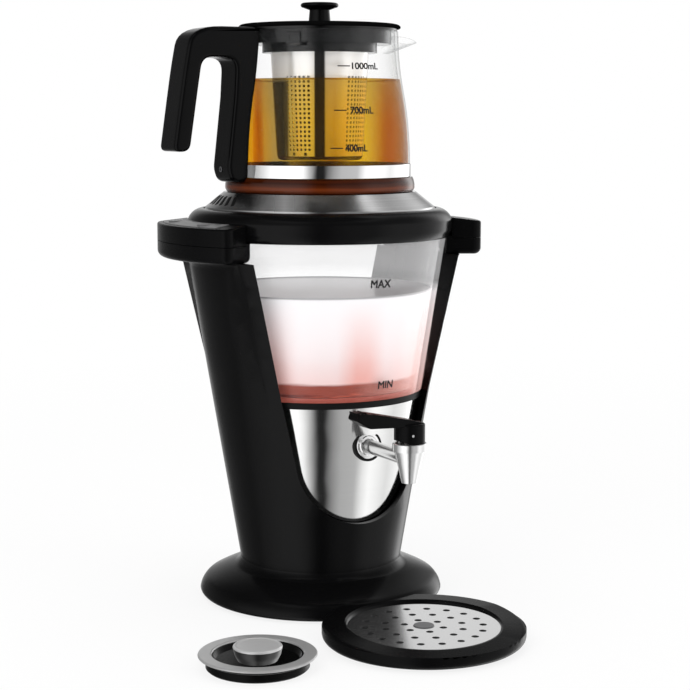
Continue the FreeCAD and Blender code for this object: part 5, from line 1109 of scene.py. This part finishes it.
def pipeRing(name, profile, paint, node):
    bm = spun(profile, 96)
    turned(bm, 90, "X")
    turned(bm, flangeLook["lean"], "X", (0, -flangeLook["pivot"] * mm, 0))
    moved(bm, (0, 0, flangeLook["axisHeight"] * mm))
    piece = meshPiece(name, bm, paint)
    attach(piece, "stand")
    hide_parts(node)


pipeRing("tapFlange", flangeLook["flange"], tapSteel, "tap_flange")
pipeRing("tapRing", flangeLook["ring"], paints["rubber"], "tap_gasket")

# the warmer's sheet, with its leaning steam slots as dark inlays: black plates of painted shade standing for
# the shadow inside the slots
warmerSheet = meshPiece("warmerSheet", spun([
    (33.0, 286.3), (33.0, 287.3), (67.2, 287.3), (80.0, 277.0), (80.12, 276.45), (80.38, 275.96),
    (80.77, 275.56), (81.0, 275.4), (81.0, 272.0), (80.0, 272.0), (80.0, 275.4), (79.0, 276.0),
    (66.7, 286.3),
], 200), warmerSteel, sharpFrom=25)
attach(warmerSheet, "stand")
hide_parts("warmer_ring")


def inlay(name, look, swing=0):
    # a dark plate of painted shade, turned about its own middle, moved to its spot and swung round the
    # object's axis
    bm = block(look["size"])
    for degrees, axis in look["turns"]:
        turned(bm, degrees, axis)
    moved(bm, look["spot"])
    turned(bm, swing, "Z")
    toMetres(bm)
    piece = meshPiece(name, bm, paints["rubber"], smooth=False)
    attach(piece, "stand")


ventLook = {"count": 6, "step": 5.8, "middle": 174.8, "size": (0.4, 2.7, 9.6),
            "spot": (73.6, 0, 282.15), "turns": [(32, "X"), (-51.2, "Y")]}
for number in range(ventLook["count"]):
    swing = ventLook["middle"] + (number - (ventLook["count"] - 1) / 2) * ventLook["step"]
    inlay(f"steamSlot{number}", ventLook, swing)
# a thin black plate of painted shade in the control's slot
controlSlotLook = {"size": (4.6, 1.5, 0.12), "spot": (-97.5, -39.2, 268.87), "turns": [(8, "Z")]}
inlay("controlSlot", controlSlotLook)

# the catch on the infuser's rim, with a notch in its face whose floor is painted black as shade
catchLook = {"turn": -20.5, "radius": 49.4, "height": 391.0, "size": (2.0, 10.4, 8.6), "round": 0.5,
             "notch": 2.3, "edge": 0.4, "deep": 0.9}
catchMesh = block(catchLook["size"])
softened(catchMesh, catchLook["round"])
face = max(catchMesh.faces, key=lambda item: item.calc_center_median().x)
bmesh.ops.inset_region(catchMesh, faces=[face], thickness=catchLook["notch"], depth=0.0)
bmesh.ops.inset_region(catchMesh, faces=[face], thickness=catchLook["edge"], depth=-catchLook["deep"])
# the notch's floor is painted black as shade
face.material_index = 1
moved(catchMesh, (catchLook["radius"], 0, catchLook["height"]))
turned(catchMesh, view["facing"] + catchLook["turn"], "Z")
toMetres(catchMesh)
rimCatch = meshPiece("rimCatch", catchMesh, paints["smoked_plastic"])
rimCatch.data.materials.append(paints["rubber"])
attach(rimCatch, "infuser")
print("stage: handle, lever ribs, flange, warmer and catch")

# the marks; a line and its words start at degrees to the right of the side that faces the camera
inkLook = {"tone": (0.005, 0.005, 0.006), "rise": 0.16, "thick": 0.04, "bold": (0.36, 0.216),
           "stroke": (8.6, 0.75), "steps": 8}
ink = newMaterial("markInk", plasticPaint(inkLook["tone"], 0.35, 0.3))


def mark(name, bm, start, height, radiusAt, body):
    # bends flat work round a wall and rides it on a body
    for vert in bm.verts:
        up = height + vert.co.y
        out = radiusAt(up) + inkLook["rise"] + vert.co.z
        turn = math.radians(view["facing"] + start) + vert.co.x / radiusAt(height)
        vert.co = Vector((math.cos(turn) * out, math.sin(turn) * out, up)) * mm
    piece = meshPiece(name, bm, ink, smooth=False)
    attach(piece, body)


def words(name, look, radiusAt, body):
    width, tall = look["size"]
    letters = bpy.data.curves.new(name, "FONT")
    letters.body = look["text"]
    letters.extrude = inkLook["thick"]
    letters.align_y = "CENTER"
    flat = bpy.data.objects.new(name + "Flat", letters)
    scene.collection.objects.link(flat)
    mesh = bpy.data.meshes.new_from_object(flat.evaluated_get(bpy.context.evaluated_depsgraph_get()))
    bpy.data.objects.remove(flat)
    bm = bmesh.new()
    bm.from_mesh(mesh)
    bmesh.ops.remove_doubles(bm, verts=bm.verts, dist=0.0001)
    spanX = [vert.co.x for vert in bm.verts]
    spanY = [vert.co.y for vert in bm.verts]
    wide, high = max(spanX) - min(spanX), max(spanY) - min(spanY)
    for vert in bm.verts:
        vert.co.x = (vert.co.x - min(spanX)) * width / wide
        vert.co.y = (vert.co.y - (max(spanY) + min(spanY)) / 2) * tall / high
    first = bm.verts[:] + bm.edges[:] + bm.faces[:]
    boldSide, boldUp = inkLook["bold"]
    # shifted copies make the letters bold, each lifted a little so that no two share a plane
    for side, rise in ((1, 0), (0, 1), (1, 1)):
        again = bmesh.ops.duplicate(bm, geom=first)["geom"]
        copied = [item for item in again if isinstance(item, bmesh.types.BMVert)]
        lift = inkLook["thick"] * (side + 2 * rise) / 6
        bmesh.ops.translate(bm, verts=copied, vec=(boldSide * side, boldUp * rise, lift))
    mark(name, bm, look["start"], look["height"], radiusAt, body)


def stroke(name, look, radiusAt, body):
    width, tall = inkLook["stroke"]
    bm = block((width, tall, inkLook["thick"] * 2))
    moved(bm, (width / 2, 0, 0))
    for step in range(1, inkLook["steps"]):
        cutAt(bm, (width * step / inkLook["steps"], 0, 0), (1, 0, 0))
    mark(name, bm, look["line"], look["height"], radiusAt, body)


potMarks = [
    {"text": "1000mL", "line": 12.2, "start": 22.4, "size": (20.5, 4.2), "height": 372.4},
    {"text": "700mL", "line": 8.95, "start": 19.6, "size": (17.0, 4.6), "height": 343.2},
    {"text": "400mL", "line": 6.4, "start": 15.6, "size": (15.8, 4.6), "height": 318.2},
]
for number, look in enumerate(potMarks):
    stroke(f"potLine{number}", look, potOutside, "teapot")
    words(f"potWords{number}", look, potOutside, "teapot")
waterMarks = {
    "waterMax": {"text": "MAX", "start": 23.5, "size": (15.0, 5.2), "height": 229.0},
    "waterMin": {"text": "MIN", "start": 32.1, "size": (12.2, 5.0), "height": 159.2},
}
for name, look in waterMarks.items():
    words(name, look, glassOutside, "stand")
print("stage: marks")

for look in (cadBox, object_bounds()):
    print("box", [round(value, 4) for corner in look for value in corner])
